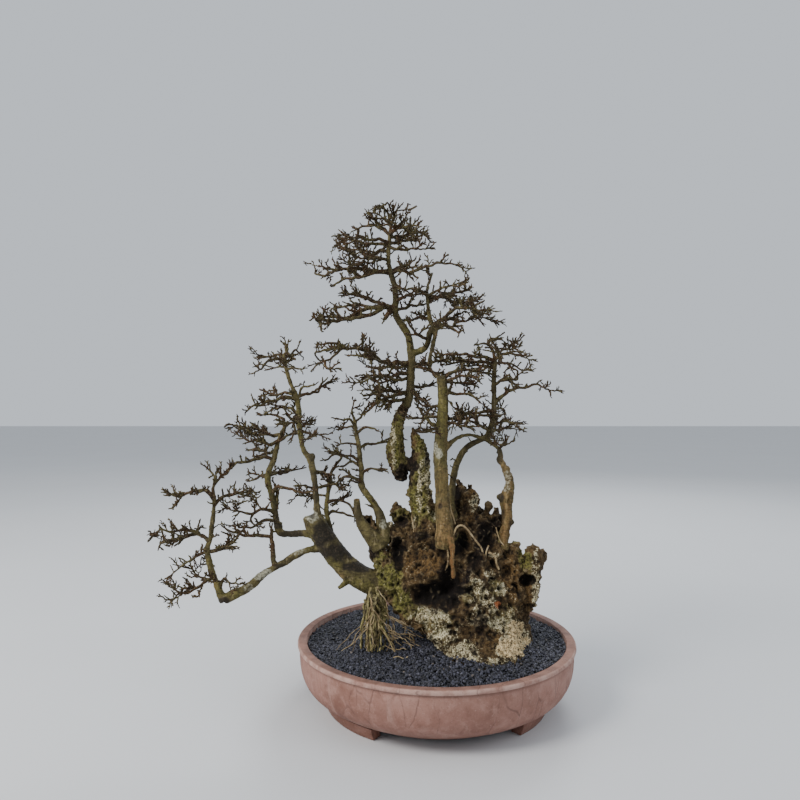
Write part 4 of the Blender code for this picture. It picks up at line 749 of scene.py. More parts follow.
# knots, cut ends and burls: across, up, half width, half height, swell in mm (less than 0 for a hollow)
KNOTS = [
    (8, 316, 7, 9, 2.2), (8, 315, 4, 6, -3.5), (6, 398, 8, 10, 2.5), (106, 330, 6, 8, 6), (131, 287, 6, 8, 6),
    (103, 404, 6, 5, 3), (120, 378, 6, 6, 3), (125, 352, 6, 6, 3), (-76, 645, 10, 9, 2.5),
    (-100, 565, 9, 8, 2), (-205, 301, 9, 9, -3), (-352, 160, 9, 9, 2), (-258, 282, 9, 9, 2),
    (-200, 398, 7, 7, 2), (-380, 242, 7, 8, 2.5), (-272, 222, 7, 6, 1.5), (94, 470, 6, 6, 1.5),
    (85, 428, 8, 8, 2), (-75, 703, 7, 7, 1.8), (-12, 600, 6, 6, 1.5), (10, 524, 9, 8, 1.5),
    (-122, 350, 7, 7, 1.5), (114, 300, 4, 12, -3), (121, 322, 4, 8, -3), (118, 268, 4, 9, -2.5),
    (12, 262, 14, 7, 2)]
bm.normal_update()
normals = [v.normal.copy() for v in bm.verts]
for vert, normal in zip(bm.verts, normals):
    spot = vert.co.copy()
    across, up = drawn(spot)[:2]
    swell = sum(near(KNOTS, across, up, 0.1, 1.1))
    twisted = 1.9 if across > 100 and up < 420 else 1.0
    lumps = noise.noise(spot * 85) * 1.0 * twisted + noise.noise(spot * 210) * 0.55 * twisted
    rings = noise.noise(Vector((spot.x * 120, spot.y * 120, spot.z * 640))) * 0.28
    skin = noise.turbulence(spot * 420, 2, False) * 0.45
    vert.co = spot + normal * (swell + lumps + rings + skin) / 1000
bm.normal_update()

# colour of the stems from place to place: across, up, half width, half height, strength; the dark patches are dark
# bark and rot, and inside the hollow knots painted shade
DARK = [
    (-164, 240, 36, 20, 1.0), (-185, 268, 22, 26, 1.0), (-128, 214, 30, 11, 1.0), (-240, 268, 26, 9, 0.8),
    (-262, 290, 12, 16, 0.8), (-200, 340, 10, 34, 0.6), (-352, 158, 12, 8, 0.9), (-255, 214, 14, 8, 0.8),
    (8, 315, 4.5, 6.5, 1.0), (128, 285, 7, 9, 0.7), (108, 328, 7, 9, 0.8), (112, 300, 5, 14, 0.7),
    (-265, 310, 9, 30, 0.5), (35, 352, 12, 26, 0.5), (-45, 540, 20, 70, 0.25), (96, 500, 10, 60, 0.45),
    (60, 420, 30, 9, 0.55), (106, 400, 9, 16, 0.6), (-205, 300, 6, 7, 0.7), (-92, 300, 8, 20, 0.5),
    (-130, 300, 8, 20, 0.6), (-206, 398, 9, 10, 0.6), (-70, 690, 9, 60, 0.45), (-8, 590, 8, 30, 0.5)]
OLIVE = [
    (-176, 214, 24, 26, 0.9), (-135, 184, 34, 14, 0.9), (-208, 255, 12, 24, 0.8), (10, 470, 14, 60, 0.8),
    (12, 380, 14, 60, 0.5), (-45, 600, 14, 40, 0.7), (-366, 185, 12, 24, 0.8), (-350, 172, 14, 8, 0.8),
    (-330, 168, 14, 9, 0.7), (-278, 355, 10, 26, 0.7), (-225, 450, 10, 60, 0.8), (-66, 650, 9, 30, 0.5),
    (-60, 450, 16, 40, 0.9), (-112, 325, 14, 16, 0.8), (-270, 320, 9, 20, 0.6), (-30, 572, 14, 8, 0.8),
    (-180, 320, 8, 50, 0.6), (-372, 230, 9, 20, 0.5), (-195, 262, 10, 10, 0.5)]
ASH = [
    (-285, 202, 26, 11, 0.9), (-310, 180, 12, 9, 0.6), (-230, 240, 22, 8, 0.6), (-206, 300, 14, 14, 0.9),
    (5, 402, 7, 10, 1.0), (0, 412, 6, 12, 0.8), (-272, 250, 8, 24, 0.5), (118, 355, 9, 26, 0.6),
    (-88, 285, 8, 10, 0.8), (18, 300, 6, 50, 0.25), (115, 400, 8, 8, 0.4)]
RED = [(28, 225, 8, 40, 1.4), (24, 262, 6, 8, 0.5), (112, 262, 7, 20, 0.5), (117, 312, 5, 16, 0.4)]
TAN = [
    (28, 225, 9, 44, 1.4), (12, 270, 20, 26, 0.9), (14, 300, 16, 34, 0.7), (116, 290, 12, 46, 1.0),
    (119, 340, 12, 40, 0.8), (116, 380, 12, 30, 0.7), (12, 350, 16, 40, 0.45), (20, 420, 6, 60, 0.35),
    (-168, 200, 20, 12, 0.5), (-131, 327, 7, 4, 0.9), (-370, 180, 8, 16, 0.4)]
masks = {"rot": DARK, "moss": OLIVE, "pale": ASH, "warm": TAN, "rust": RED}
layers = {name: bm.verts.layers.float.new(name) for name in masks}
for vert in bm.verts:
    across, up = drawn(vert.co)[:2]
    ragged = noise.fractal(vert.co * 90, 1.0, 2.0, 2) * 0.3
    for name, spots in masks.items():
        vert[layers[name]] = max(near(spots, across, up, 0.55, 1.15, ragged), default=0.0)

skin, shader, at = start_finish("stem_bark")
rot, moss, pale, warm, rust = (painted(at, name) for name in masks)
mottle = grain(at, 90, 5, 0.65)
crumb = grain(at, 300, 4, 0.65)
marks = grain(at, 120, 4, 0.6, (1, 1, 4.5), 0.3)
streak = grain(at, 160, 3, 0.6, (1, 1, 0.16), 0.4)
color = blend(ramp(mottle, 0.36, 0.64), (0.038, 0.029, 0.011), (0.135, 0.110, 0.040))
olive = blend(ramp(streak, 0.38, 0.62), (0.052, 0.048, 0.010), (0.175, 0.152, 0.038))
color = blend(moss * ramp(crumb, 0.32, 0.58), color, olive)
tan = blend(ramp(streak, 0.38, 0.64), (0.085, 0.046, 0.014), (0.300, 0.190, 0.075))
color = blend(warm * ramp(crumb, 0.30, 0.56), color, tan)
color = blend(rust * ramp(crumb, 0.36, 0.60) * 0.8, color, (0.165, 0.075, 0.024))
color = blend(ramp(marks, 0.54, 0.66) * 0.6, color, (0.024, 0.016, 0.008))
color = blend(ramp(streak, 0.58, 0.70) * 0.45, color, (0.30, 0.24, 0.125))
ash = blend(ramp(crumb, 0.38, 0.6), (0.105, 0.100, 0.070), (0.40, 0.385, 0.290))
color = blend(ramp(pale + (crumb - 0.5) * 1.6, 0.40, 0.85) * 0.85, color, ash)
color = blend(ramp(crumb, 0.62, 0.72) * 0.55, color, (0.34, 0.30, 0.185))
color = blend(ramp(crumb, 0.42, 0.35) * 0.6, color, (0.018, 0.012, 0.006))
black = blend(ramp(crumb, 0.5, 0.7), (0.0075, 0.0050, 0.0034), (0.05, 0.034, 0.020))
# dark bark and rot, with painted shade inside the hollow knots
color = blend(ramp(rot + (mottle - 0.5) * 1.3 + (crumb - 0.5) * 0.6, 0.15, 1.0) * 0.92, color, black)
curvature_shading = at.node("ShaderNodeNewGeometry", {}, {}, output=7)      # pointiness: painted shade in dips
color = blend(ramp(curvature_shading, 0.48, 0.42) * 0.6, color, (0.018, 0.013, 0.009))
end_finish(shader, color, 0.84 - rot * 0.1, crumb + marks * 0.5 + streak * 0.4, 0.0013, shine=0.3)
piece("stems", bm, skin, "bark", "tree")

# ---- Branches and twigs ----------------------------------------------------------------------------
# The trained branches lie in flat tiers. Each carries short side shoots, front, back and to the sides,
# and on these stand zigzag twigs that fork and end bluntly where they were pinched back.
# name: (parent, depth of the tip, radius at the foot, radius at the tip, [(across, up), ...]), in mm
BRANCHES = {
    "riser_crown_left": ("cascade_riser", -105, 4.5, 2, [(-367, 328), (-378, 338), (-392, 341), (-410, 338),
        (-428, 331), (-440, 337)]),
    "riser_crown_right": ("cascade_riser", -40, 4, 2, [(-367, 318), (-358, 327), (-345, 333), (-330, 335),
        (-316, 334), (-307, 330)]),
    "riser_crown_top": ("cascade_riser", -65, 3, 1.8, [(-367, 330), (-368, 345), (-365, 358), (-370, 370),
        (-377, 378)]),
    "riser_crown_top2": ("riser_crown_top", -50, 2.5, 1.8, [(-366, 352), (-357, 362), (-356, 376)]),
    "riser_crown_link": ("riser_crown_top2", -45, 2.2, 1.6, [(-357, 366), (-345, 370), (-338, 380)]),
    "riser_left_mid": ("cascade_riser", -50, 4, 2, [(-375, 256), (-386, 266), (-400, 270), (-416, 266),
        (-434, 261), (-450, 257), (-459, 248)]),
    "riser_left_up": ("riser_left_mid", -95, 3, 1.8, [(-392, 270), (-405, 276), (-422, 274), (-440, 272),
        (-456, 277), (-466, 268)]),
    "riser_left_low": ("cascade_riser", -100, 3, 1.5, [(-378, 241), (-395, 232), (-412, 222), (-426, 211),
        (-440, 201)]),
    "riser_bottom": ("cascade_riser", -115, 3, 1.8, [(-367, 196), (-382, 190), (-394, 181), (-410, 172),
        (-425, 170), (-436, 160)]),
    "riser_bottom_up": ("riser_bottom", -60, 2.5, 1.6, [(-374, 194), (-388, 195), (-397, 203), (-405, 210)]),
    "riser_spur_right": ("cascade_riser", -95, 3, 1.5, [(-358, 178), (-352, 195), (-342, 188), (-325, 187)]),
    "riser_right": ("cascade_riser", -90, 4, 2, [(-378, 240), (-364, 241), (-352, 246), (-340, 252),
        (-330, 262)]),
    "cascade_stem": ("cascade", -60, 5, 3.5, [(-266, 218), (-271, 232), (-271, 248), (-272, 263),
        (-272, 277)]),
    "cascade_stem_left": ("cascade_stem", -85, 3.5, 2, [(-272, 264), (-288, 267), (-305, 266), (-322, 268),
        (-338, 272), (-350, 280)]),
    "elbow_low_left": ("left_elbow", -75, 3.5, 2, [(-266, 302), (-275, 309), (-290, 309), (-305, 303),
        (-318, 304), (-328, 309)]),
    "elbow_low_left2": ("elbow_low_left", -60, 2.5, 1.8, [(-302, 304), (-306, 292), (-296, 283)]),
    "elbow_low_fork": ("left_elbow", -65, 3.5, 2, [(-256, 285), (-270, 292), (-284, 292), (-294, 286),
        (-306, 280), (-325, 278)]),
    "elbow_right": ("left_elbow", -60, 3.5, 2, [(-272, 335), (-262, 346), (-250, 346), (-236, 342),
        (-222, 338), (-208, 338)]),
    "elbow_right_stem": ("left_elbow", -18, 4, 3, [(-264, 310), (-264, 325), (-263, 340), (-266, 352)]),
    "elbow_right_up": ("left_elbow", 25, 3, 2, [(-275, 366), (-264, 370), (-252, 369), (-242, 373),
        (-236, 378)]),
    "elbow_left_mid": ("left_elbow", 20, 3, 1.8, [(-278, 360), (-288, 366), (-298, 360), (-308, 356)]),
    "elbow_long_left": ("left_elbow", -50, 3.5, 2, [(-268, 391), (-280, 396), (-296, 392), (-314, 388),
        (-330, 387), (-338, 378), (-347, 371)]),
    "elbow_mid_left": ("left_elbow", 35, 3, 2, [(-264, 408), (-274, 402), (-285, 405), (-297, 408),
        (-308, 409)]),
    "elbow_upper_left": ("left_elbow", -40, 3.5, 2, [(-260, 424), (-272, 418), (-284, 420), (-296, 423),
        (-307, 421)]),
    "elbow_top_left": ("left_elbow", 25, 3.5, 2, [(-256, 433), (-270, 433), (-284, 435), (-298, 434),
        (-309, 438), (-319, 441)]),
    "elbow_top_back": ("left_elbow", 20, 3, 1.8, [(-250, 446), (-252, 458), (-262, 464), (-275, 467),
        (-288, 465)]),
    "elbow_link": ("left_elbow", -30, 3, 2, [(-262, 421), (-250, 430), (-240, 434), (-230, 434)]),
    "leader_left": ("left_leader_top", -75, 4, 2, [(-230, 492), (-243, 495), (-256, 495), (-268, 489),
        (-280, 487), (-292, 481), (-303, 480), (-312, 473)]),
    "leader_left_up": ("left_leader_top", 10, 3, 1.8, [(-236, 500), (-248, 504), (-262, 500), (-275, 502),
        (-285, 498)]),
    "leader_right": ("left_leader_top", 10, 3.5, 2, [(-231, 494), (-220, 500), (-208, 502), (-196, 505),
        (-190, 512)]),
    "leader_right_up": ("left_leader_top", -60, 2.5, 1.8, [(-226, 497), (-222, 510), (-210, 514),
        (-202, 515)]),
    "leader_low_left": ("left_leader_top", 5, 3, 1.8, [(-228, 468), (-240, 477), (-252, 479), (-265, 478),
        (-280, 470)]),
    "leader_knot_left": ("left_leader_top", -70, 3, 1.8, [(-227, 452), (-238, 457), (-246, 466),
        (-250, 475)]),
    "leader_low_right": ("left_leader_top", -75, 3, 1.8, [(-224, 440), (-214, 438), (-206, 434),
        (-198, 432)]),
    "leader_low_right2": ("left_leader_top", -5, 2.5, 1.6, [(-225, 448), (-215, 452), (-207, 451)]),
    "leader_crown_left": ("left_leader_top", -65, 3, 1.8, [(-249, 548), (-258, 558), (-272, 557), (-282, 551),
        (-290, 542), (-295, 546)]),
    "leader_crown_mid": ("left_leader_top", 0, 2.8, 1.8, [(-250, 556), (-262, 566), (-274, 562),
        (-288, 563)]),
    "leader_crown_up": ("left_leader_top", -20, 2.5, 1.8, [(-251, 565), (-246, 575), (-248, 583)]),
    "leader_crown_right": ("left_leader_top", 0, 2.5, 1.8, [(-250, 560), (-240, 566), (-233, 574),
        (-226, 568)]),
    "leader_crown_low": ("left_leader_top", -60, 2.5, 1.6, [(-247, 541), (-238, 544), (-226, 542)]),
    "leader_crown_low_left": ("left_leader_top", 5, 2.5, 1.6, [(-248, 545), (-258, 546), (-268, 543)]),
    "inner_leader_link": ("left_leader", -12, 4, 3, [(-204, 374), (-195, 372), (-186, 370), (-177, 364)]),
    "inner_up": ("inner_left", 15, 3, 1.8, [(-176, 362), (-170, 376), (-162, 386), (-157, 397), (-168, 401),
        (-178, 393)]),
    "inner_left_low": ("inner_left", -45, 3, 1.8, [(-177, 350), (-190, 347), (-203, 345), (-216, 349),
        (-226, 350)]),
    "inner_left_low2": ("inner_left", 20, 2.5, 1.6, [(-180, 332), (-192, 334), (-206, 334), (-214, 325)]),
    "inner_right": ("inner_left", -35, 2.8, 1.8, [(-177, 347), (-168, 352), (-160, 345), (-152, 342)]),
    "hoop_low": ("inner_left", -28, 3, 2, [(-180, 298), (-172, 306), (-158, 305), (-145, 302), (-136, 299)]),
    "hoop_high": ("inner_left", -28, 3, 2, [(-181, 320), (-170, 325), (-157, 324), (-146, 320), (-138, 311),
        (-136, 303)]),
    "small_low_left": ("small_tree", -55, 3.5, 2, [(-122, 349), (-130, 360), (-142, 363), (-154, 362),
        (-166, 352), (-175, 350)]),
    "small_low_left2": ("small_tree", 25, 3, 1.8, [(-124, 380), (-138, 389), (-150, 383), (-162, 380)]),
    "small_mid_left": ("small_tree", -45, 3, 1.8, [(-126, 390), (-138, 398), (-150, 398), (-164, 400)]),
    "small_left_thin": ("small_tree", -35, 2.2, 1.5, [(-128, 417), (-144, 419), (-160, 418)]),
    "small_right": ("small_tree", 20, 3, 1.8, [(-127, 410), (-118, 416), (-106, 418), (-94, 418),
        (-84, 420)]),
    "small_low_right": ("small_tree", -40, 2.8, 1.8, [(-123, 370), (-112, 376), (-100, 377), (-88, 377)]),
    "small_top_left": ("small_tree", -45, 2.8, 1.6, [(-133, 448), (-142, 458), (-152, 459), (-160, 460)]),
    "small_top_left2": ("small_tree", 15, 2.5, 1.6, [(-131, 440), (-142, 447), (-156, 447)]),
    "small_top_right": ("small_tree", -40, 2.8, 1.8, [(-130, 436), (-120, 444), (-108, 445), (-98, 440)]),
    "small_top_up": ("small_tree", -5, 2.5, 1.6, [(-134, 455), (-124, 462), (-117, 474), (-110, 480)]),
    "small_tip": ("small_tree", -20, 2.5, 1.6, [(-135, 460), (-138, 472), (-136, 486)]),
    "apex_tip": ("main_leader", 5, 3.2, 1.8, [(-76, 766), (-74, 780), (-78, 794), (-84, 804), (-93, 811)]),
    "apex_tip2": ("apex_tip", -25, 2.8, 1.8, [(-75, 782), (-68, 796), (-64, 808)]),
    "apex_right_up": ("main_leader", -35, 3, 1.8, [(-76, 764), (-64, 776), (-55, 787), (-47, 798)]),
    "apex_right_mid": ("main_leader", 45, 3, 1.8, [(-76, 760), (-60, 762), (-45, 764), (-30, 768),
        (-14, 762)]),
    "apex_right_far": ("main_leader", -50, 2.8, 1.8, [(-76, 770), (-58, 776), (-42, 779), (-28, 782)]),
    "apex_right_low": ("main_leader", -40, 3, 1.8, [(-78, 745), (-64, 740), (-50, 740), (-36, 742),
        (-24, 746)]),
    "apex_right_low2": ("main_leader", 55, 3, 1.8, [(-77, 752), (-60, 753), (-44, 756), (-30, 755)]),
    "apex_left_up": ("main_leader", 45, 3.2, 1.8, [(-76, 764), (-90, 776), (-105, 780), (-118, 779),
        (-130, 775)]),
    "apex_left_mid": ("main_leader", -50, 3.2, 1.8, [(-77, 752), (-92, 757), (-110, 757), (-126, 762),
        (-140, 752), (-152, 752)]),
    "apex_left_far": ("main_leader", 20, 3.2, 1.8, [(-77, 748), (-95, 750), (-114, 750), (-132, 754),
        (-148, 757), (-160, 750)]),
    "apex_left_low": ("main_leader", 55, 3.2, 1.8, [(-78, 738), (-92, 738), (-104, 731), (-116, 738),
        (-134, 740), (-152, 741)]),
    "apex_left_low2": ("main_leader", -60, 3, 1.8, [(-78, 722), (-92, 726), (-106, 724), (-120, 726),
        (-136, 728)]),
    "top_left_long": ("main_leader", -40, 4.5, 2, [(-74, 702), (-90, 704), (-106, 705), (-124, 709),
        (-142, 709), (-160, 708), (-176, 708), (-188, 713)]),
    "top_left_hook": ("top_left_long", 40, 3, 2, [(-156, 708), (-172, 703), (-184, 697), (-197, 699),
        (-198, 704)]),
    "top_left_low": ("main_leader", 50, 4, 2, [(-78, 705), (-94, 703), (-110, 699), (-128, 694), (-146, 692),
        (-160, 688), (-169, 682)]),
    "top_left_fill": ("top_left_long", -75, 3, 1.8, [(-108, 704), (-124, 716), (-140, 716), (-154, 724)]),
    "top_right_low": ("main_leader", -30, 4, 2, [(-72, 702), (-60, 706), (-48, 704), (-38, 700), (-33, 694)]),
    "top_right_long": ("top_right_low", -60, 3, 1.8, [(-42, 702), (-26, 708), (-12, 714), (4, 717), (20, 717),
        (37, 716)]),
    "top_right_back": ("main_leader", 55, 3, 1.8, [(-72, 705), (-58, 712), (-44, 716), (-34, 724)]),
    "second_left": ("main_leader", -45, 5.5, 2.2, [(-66, 645), (-80, 645), (-94, 643), (-108, 644),
        (-122, 640), (-136, 633), (-152, 627), (-168, 629), (-186, 630)]),
    "second_left_up": ("second_left", 50, 4, 2, [(-84, 646), (-98, 653), (-112, 659), (-126, 664),
        (-140, 667), (-152, 664)]),
    "second_left_low": ("second_left", -75, 4, 2, [(-90, 642), (-104, 634), (-120, 630), (-140, 625),
        (-160, 622), (-180, 619), (-196, 621), (-199, 627)]),
    "second_left_stub": ("main_leader", -15, 5, 3.5, [(-72, 640), (-80, 632), (-84, 624)]),
    "second_left_mid": ("second_left", 20, 3, 1.8, [(-112, 645), (-126, 648), (-142, 648), (-158, 645),
        (-168, 649)]),
    "second_right": ("main_leader", -35, 3.5, 2, [(-66, 655), (-54, 661), (-44, 665), (-36, 672)]),
    "second_right_low": ("main_leader", 35, 3, 2, [(-66, 640), (-52, 643), (-38, 647), (-24, 648),
        (-14, 650)]),
    "twin_crown_left": ("apex_stem", -50, 3, 1.8, [(-14, 664), (-26, 672), (-40, 674), (-56, 674)]),
    "twin_crown_up": ("apex_stem", 25, 3, 1.8, [(-15, 668), (-12, 682), (-8, 695), (-12, 704)]),
    "twin_crown_mid": ("apex_stem", -60, 3, 1.8, [(-14, 662), (0, 672), (14, 678), (28, 680), (42, 680)]),
    "twin_crown_right": ("apex_stem", 40, 3, 1.8, [(-13, 660), (4, 664), (22, 668), (38, 670), (54, 674)]),
    "twin_right": ("apex_right", -45, 3.5, 2, [(14, 626), (24, 636), (36, 644), (50, 643), (66, 640),
        (84, 638)]),
    "twin_right_up": ("apex_stem", 35, 3, 1.8, [(-10, 655), (6, 662), (22, 658), (38, 653), (52, 654)]),
    "twin_right_low": ("apex_right", 30, 3, 1.8, [(10, 623), (24, 625), (40, 622), (54, 622), (68, 630),
        (76, 620)]),
    "twin_right_low2": ("apex_right", -65, 3, 1.8, [(4, 616), (18, 614), (30, 608), (38, 602)]),
    "twin_left": ("apex_right", -35, 3.2, 2, [(-12, 592), (-24, 596), (-34, 603), (-42, 613), (-48, 622)]),
    "twin_left_up": ("apex_stem", 35, 3, 1.8, [(-8, 622), (-18, 627), (-30, 628), (-42, 622)]),
    "third_left": ("main_leader", -45, 5, 2.2, [(-42, 552), (-58, 553), (-74, 553), (-90, 556), (-100, 566),
        (-112, 572), (-126, 575), (-140, 577), (-152, 579)]),
    "third_left_end": ("third_left", -60, 2.8, 1.8, [(-150, 579), (-164, 584), (-178, 585), (-190, 584)]),
    "third_left_drop": ("third_left", -75, 2.8, 1.8, [(-152, 578), (-163, 570), (-172, 560), (-186, 556),
        (-196, 550)]),
    "third_left_drop2": ("third_left_end", -20, 2.6, 1.8, [(-157, 581), (-176, 574), (-190, 572), (-200, 568),
        (-192, 556)]),
    "third_left_foot": ("third_left_drop", -85, 2.4, 1.8, [(-184, 556), (-182, 546), (-174, 543),
        (-168, 548)]),
    "third_left_fill": ("third_left", 25, 3, 1.8, [(-98, 562), (-112, 562), (-126, 564), (-142, 566)]),
    "third_left_back": ("main_leader", 60, 3.5, 1.8, [(-44, 548), (-62, 545), (-80, 546), (-96, 544),
        (-108, 546)]),
    "fourth_left": ("main_leader", -60, 4, 2, [(-44, 535), (-60, 534), (-76, 530), (-92, 530), (-106, 527),
        (-120, 522)]),
    "fourth_left_up": ("main_leader", 45, 3.2, 1.8, [(-44, 528), (-58, 524), (-74, 524), (-90, 520),
        (-104, 522)]),
    "fifth_left": ("main_leader", -55, 4, 2, [(-46, 505), (-62, 500), (-78, 495), (-92, 491), (-104, 481),
        (-112, 474), (-120, 466)]),
    "fifth_left_back": ("main_leader", 60, 3.5, 1.8, [(-46, 500), (-62, 505), (-78, 507), (-94, 505)]),
    "fifth_left_low": ("main_leader", -20, 3.2, 1.8, [(-48, 492), (-64, 491), (-80, 489), (-96, 492)]),
    "fifth_front": ("main_leader", -50, 3.5, 2, [(-42, 508), (-34, 500), (-26, 492), (-16, 490)]),
    "fifth_right": ("main_leader", 45, 3.5, 1.8, [(-41, 516), (-28, 512), (-16, 514), (-6, 516)]),
    "fourth_right": ("main_leader", -30, 3.5, 2, [(-40, 545), (-26, 545), (-12, 541), (0, 536), (8, 530)]),
    "third_right": ("main_leader", 50, 3.5, 2, [(-40, 552), (-26, 550), (-12, 553), (4, 555), (18, 556)]),
    "pole_left_limb": ("pole", -15, 4.5, 2.2, [(8, 446), (-4, 451), (-14, 460), (-22, 470), (-30, 478)]),
    "pole_left_limb2": ("pole", -75, 3, 1.8, [(6, 444), (-8, 441), (-22, 438), (-32, 440)]),
    "pole_left_limb3": ("pole", -70, 3, 1.8, [(8, 464), (-6, 463), (-20, 461), (-36, 462)]),
    "pole_left_limb4": ("pole", -10, 3, 1.8, [(8, 480), (-6, 482), (-20, 482), (-30, 488)]),
    "pole_top_right": ("pole", -30, 3.5, 2.2, [(12, 524), (22, 534), (36, 539), (52, 540), (68, 538),
        (84, 536), (96, 532)]),
    "pole_top_left": ("pole", -20, 3, 2, [(8, 526), (-2, 533), (-8, 542), (-11, 550)]),
    "pole_right_a": ("pole", -75, 3, 1.8, [(14, 522), (30, 527), (46, 531), (58, 530), (70, 528)]),
    "pole_right_b": ("pole", -5, 2.6, 1.6, [(14, 520), (30, 520), (46, 518), (64, 517)]),
    "pole_right_c": ("pole", -70, 3.2, 1.8, [(14, 504), (28, 502), (42, 500), (56, 500), (68, 494)]),
    "pole_right_d": ("pole", -15, 3, 1.8, [(14, 458), (28, 461), (42, 462), (56, 460)]),
    "pole_right_e": ("pole", -70, 3, 1.8, [(14, 452), (28, 452), (42, 448), (56, 447)]),
    "right_top": ("right_arch", -20, 3, 1.8, [(98, 560), (94, 574), (88, 583), (90, 592), (99, 592)]),
    "right_top_left": ("right_top", -40, 2.4, 1.6, [(90, 582), (80, 584), (68, 583)]),
    "right_upper_right": ("right_arch", -70, 3.2, 1.8, [(98, 558), (110, 566), (122, 570), (134, 566),
        (146, 564)]),
    "right_upper_right_up": ("right_upper_right", 20, 2.6, 1.8, [(104, 564), (112, 574), (122, 578),
        (128, 584)]),
    "right_upper_low": ("right_arch", 25, 2.8, 1.8, [(97, 552), (110, 552), (122, 552), (132, 548),
        (140, 542)]),
    "right_hook": ("right_arch", -65, 3, 1.8, [(97, 516), (108, 522), (122, 525), (134, 526), (135, 538),
        (128, 544)]),
    "right_long": ("right_arch", -55, 3.8, 1.8, [(98, 484), (106, 494), (118, 504), (132, 509), (148, 511),
        (160, 516), (170, 516), (182, 511)]),
    "right_left_top": ("right_arch", -70, 3.5, 1.8, [(97, 556), (82, 562), (66, 562), (50, 566), (34, 566),
        (18, 566), (6, 568)]),
    "right_left_top2": ("right_arch", 35, 3.5, 1.8, [(97, 550), (80, 554), (62, 554), (44, 556), (28, 553),
        (12, 556)]),
    "right_left_top3": ("right_arch", 5, 3, 1.8, [(96, 545), (82, 547), (66, 548), (50, 546)]),
    "right_left_mid": ("right_arch", -60, 3, 1.8, [(97, 474), (82, 472), (66, 469), (50, 469), (38, 474),
        (28, 482)]),
    "right_left_low": ("right_arch", 25, 3, 1.8, [(95, 460), (82, 466), (68, 464), (54, 460)]),
    "right_left_low2": ("right_arch", -65, 3, 1.8, [(90, 440), (78, 446), (66, 452), (54, 456), (42, 452)]),
    "right_low_right": ("right_arch", -65, 2.8, 1.8, [(93, 450), (106, 453), (118, 456), (130, 452),
        (138, 446)]),
    "right_low_right2": ("right_arch", 25, 2.6, 1.6, [(90, 436), (102, 441), (114, 444), (122, 446)]),
    "right_mid_right": ("right_arch", 20, 2.5, 1.6, [(97, 474), (108, 478), (116, 474)]),
    "twist_top": ("right_twist", -45, 2.6, 1.6, [(104, 410), (112, 416), (118, 426)]),
}


def tapered(points, start, end):
    """Points with radii that go evenly from start to end."""
    return [(x, z, start + (end - start) * i / (len(points) - 1)) for i, (x, z) in enumerate(points)]


for name, (foot, tip, start, end, points) in BRANCHES.items():
    lay_out(name, foot, tip, tapered(points, start, end))
random.seed(23)
UP = Vector((0, 0, 1))
TOP = cad_box[1][2] - 0.004     # where the upper twigs were pinched back
LEFT = cad_box[0][0] + 0.003    # and the low ones
ZIGZAG = 0.0040                 # length of the straight bits of a twig


def knotted(points, wander):
    """Make a smooth path a little crooked, with swollen joints."""
    out = []
    for number, (spot, radius) in enumerate(points):
        off = Vector((noise.noise(spot * 95), noise.noise(spot * 95 + UP * 7), noise.noise(spot * 95 - UP * 9)))
        fat = 1.0 + 0.22 * noise.noise(spot * 170 + UP * 3) + (0.18 if number % 4 == 0 else 0.0)
        out.append((spot + off * wander * min(1.0, number / 4), radius * fat))
    return out


def twig(lines, spot, heading, length, radius, forks):
    """Grow a zigzag twig and its forks; each is a list of points with radii."""
    points = [(spot.copy(), radius * 1.1)]
    count = max(2, round(length / ZIGZAG))
    side = heading.cross(UP if abs(heading.z) < 0.9 else Vector((1, 0, 0))).normalized()
    side = (side * random.uniform(-1, 1) + heading.cross(side) * random.uniform(-1, 1)).normalized()
    turn = random.choice((-1, 1))
    for number in range(count):
        if spot.z > TOP:
            heading.z = -abs(heading.z)
        if spot.x < LEFT:
            heading.x = abs(heading.x)
        bent = (heading + side * turn * random.uniform(0.20, 0.55) + UP * 0.06
                + Vector((random.gauss(0, 0.13), random.gauss(0, 0.13), random.gauss(0, 0.10)))).normalized()
        turn = -turn
        spot = spot + bent * length / count
        share = (number + 1) / count
        points.append((spot.copy(), radius * (1 - 0.30 * share) * random.uniform(0.80, 1.22)))
        heading = (heading * 0.8 + bent * 0.2).normalized()
        if forks and number < count - 1 and random.random() < 0.66:
            off = (bent + side * random.choice((-1, 1)) * random.uniform(0.7, 1.25)
                   + Vector((random.gauss(0, 0.3), random.gauss(0, 0.3), random.gauss(0.12, 0.25)))).normalized()
            twig(lines, spot, off, length * random.uniform(0.32, 0.60), radius * 0.88, forks - 1)
    points[-1] = (points[-1][0], points[-1][1] * 0.8)
    lines.append(points)


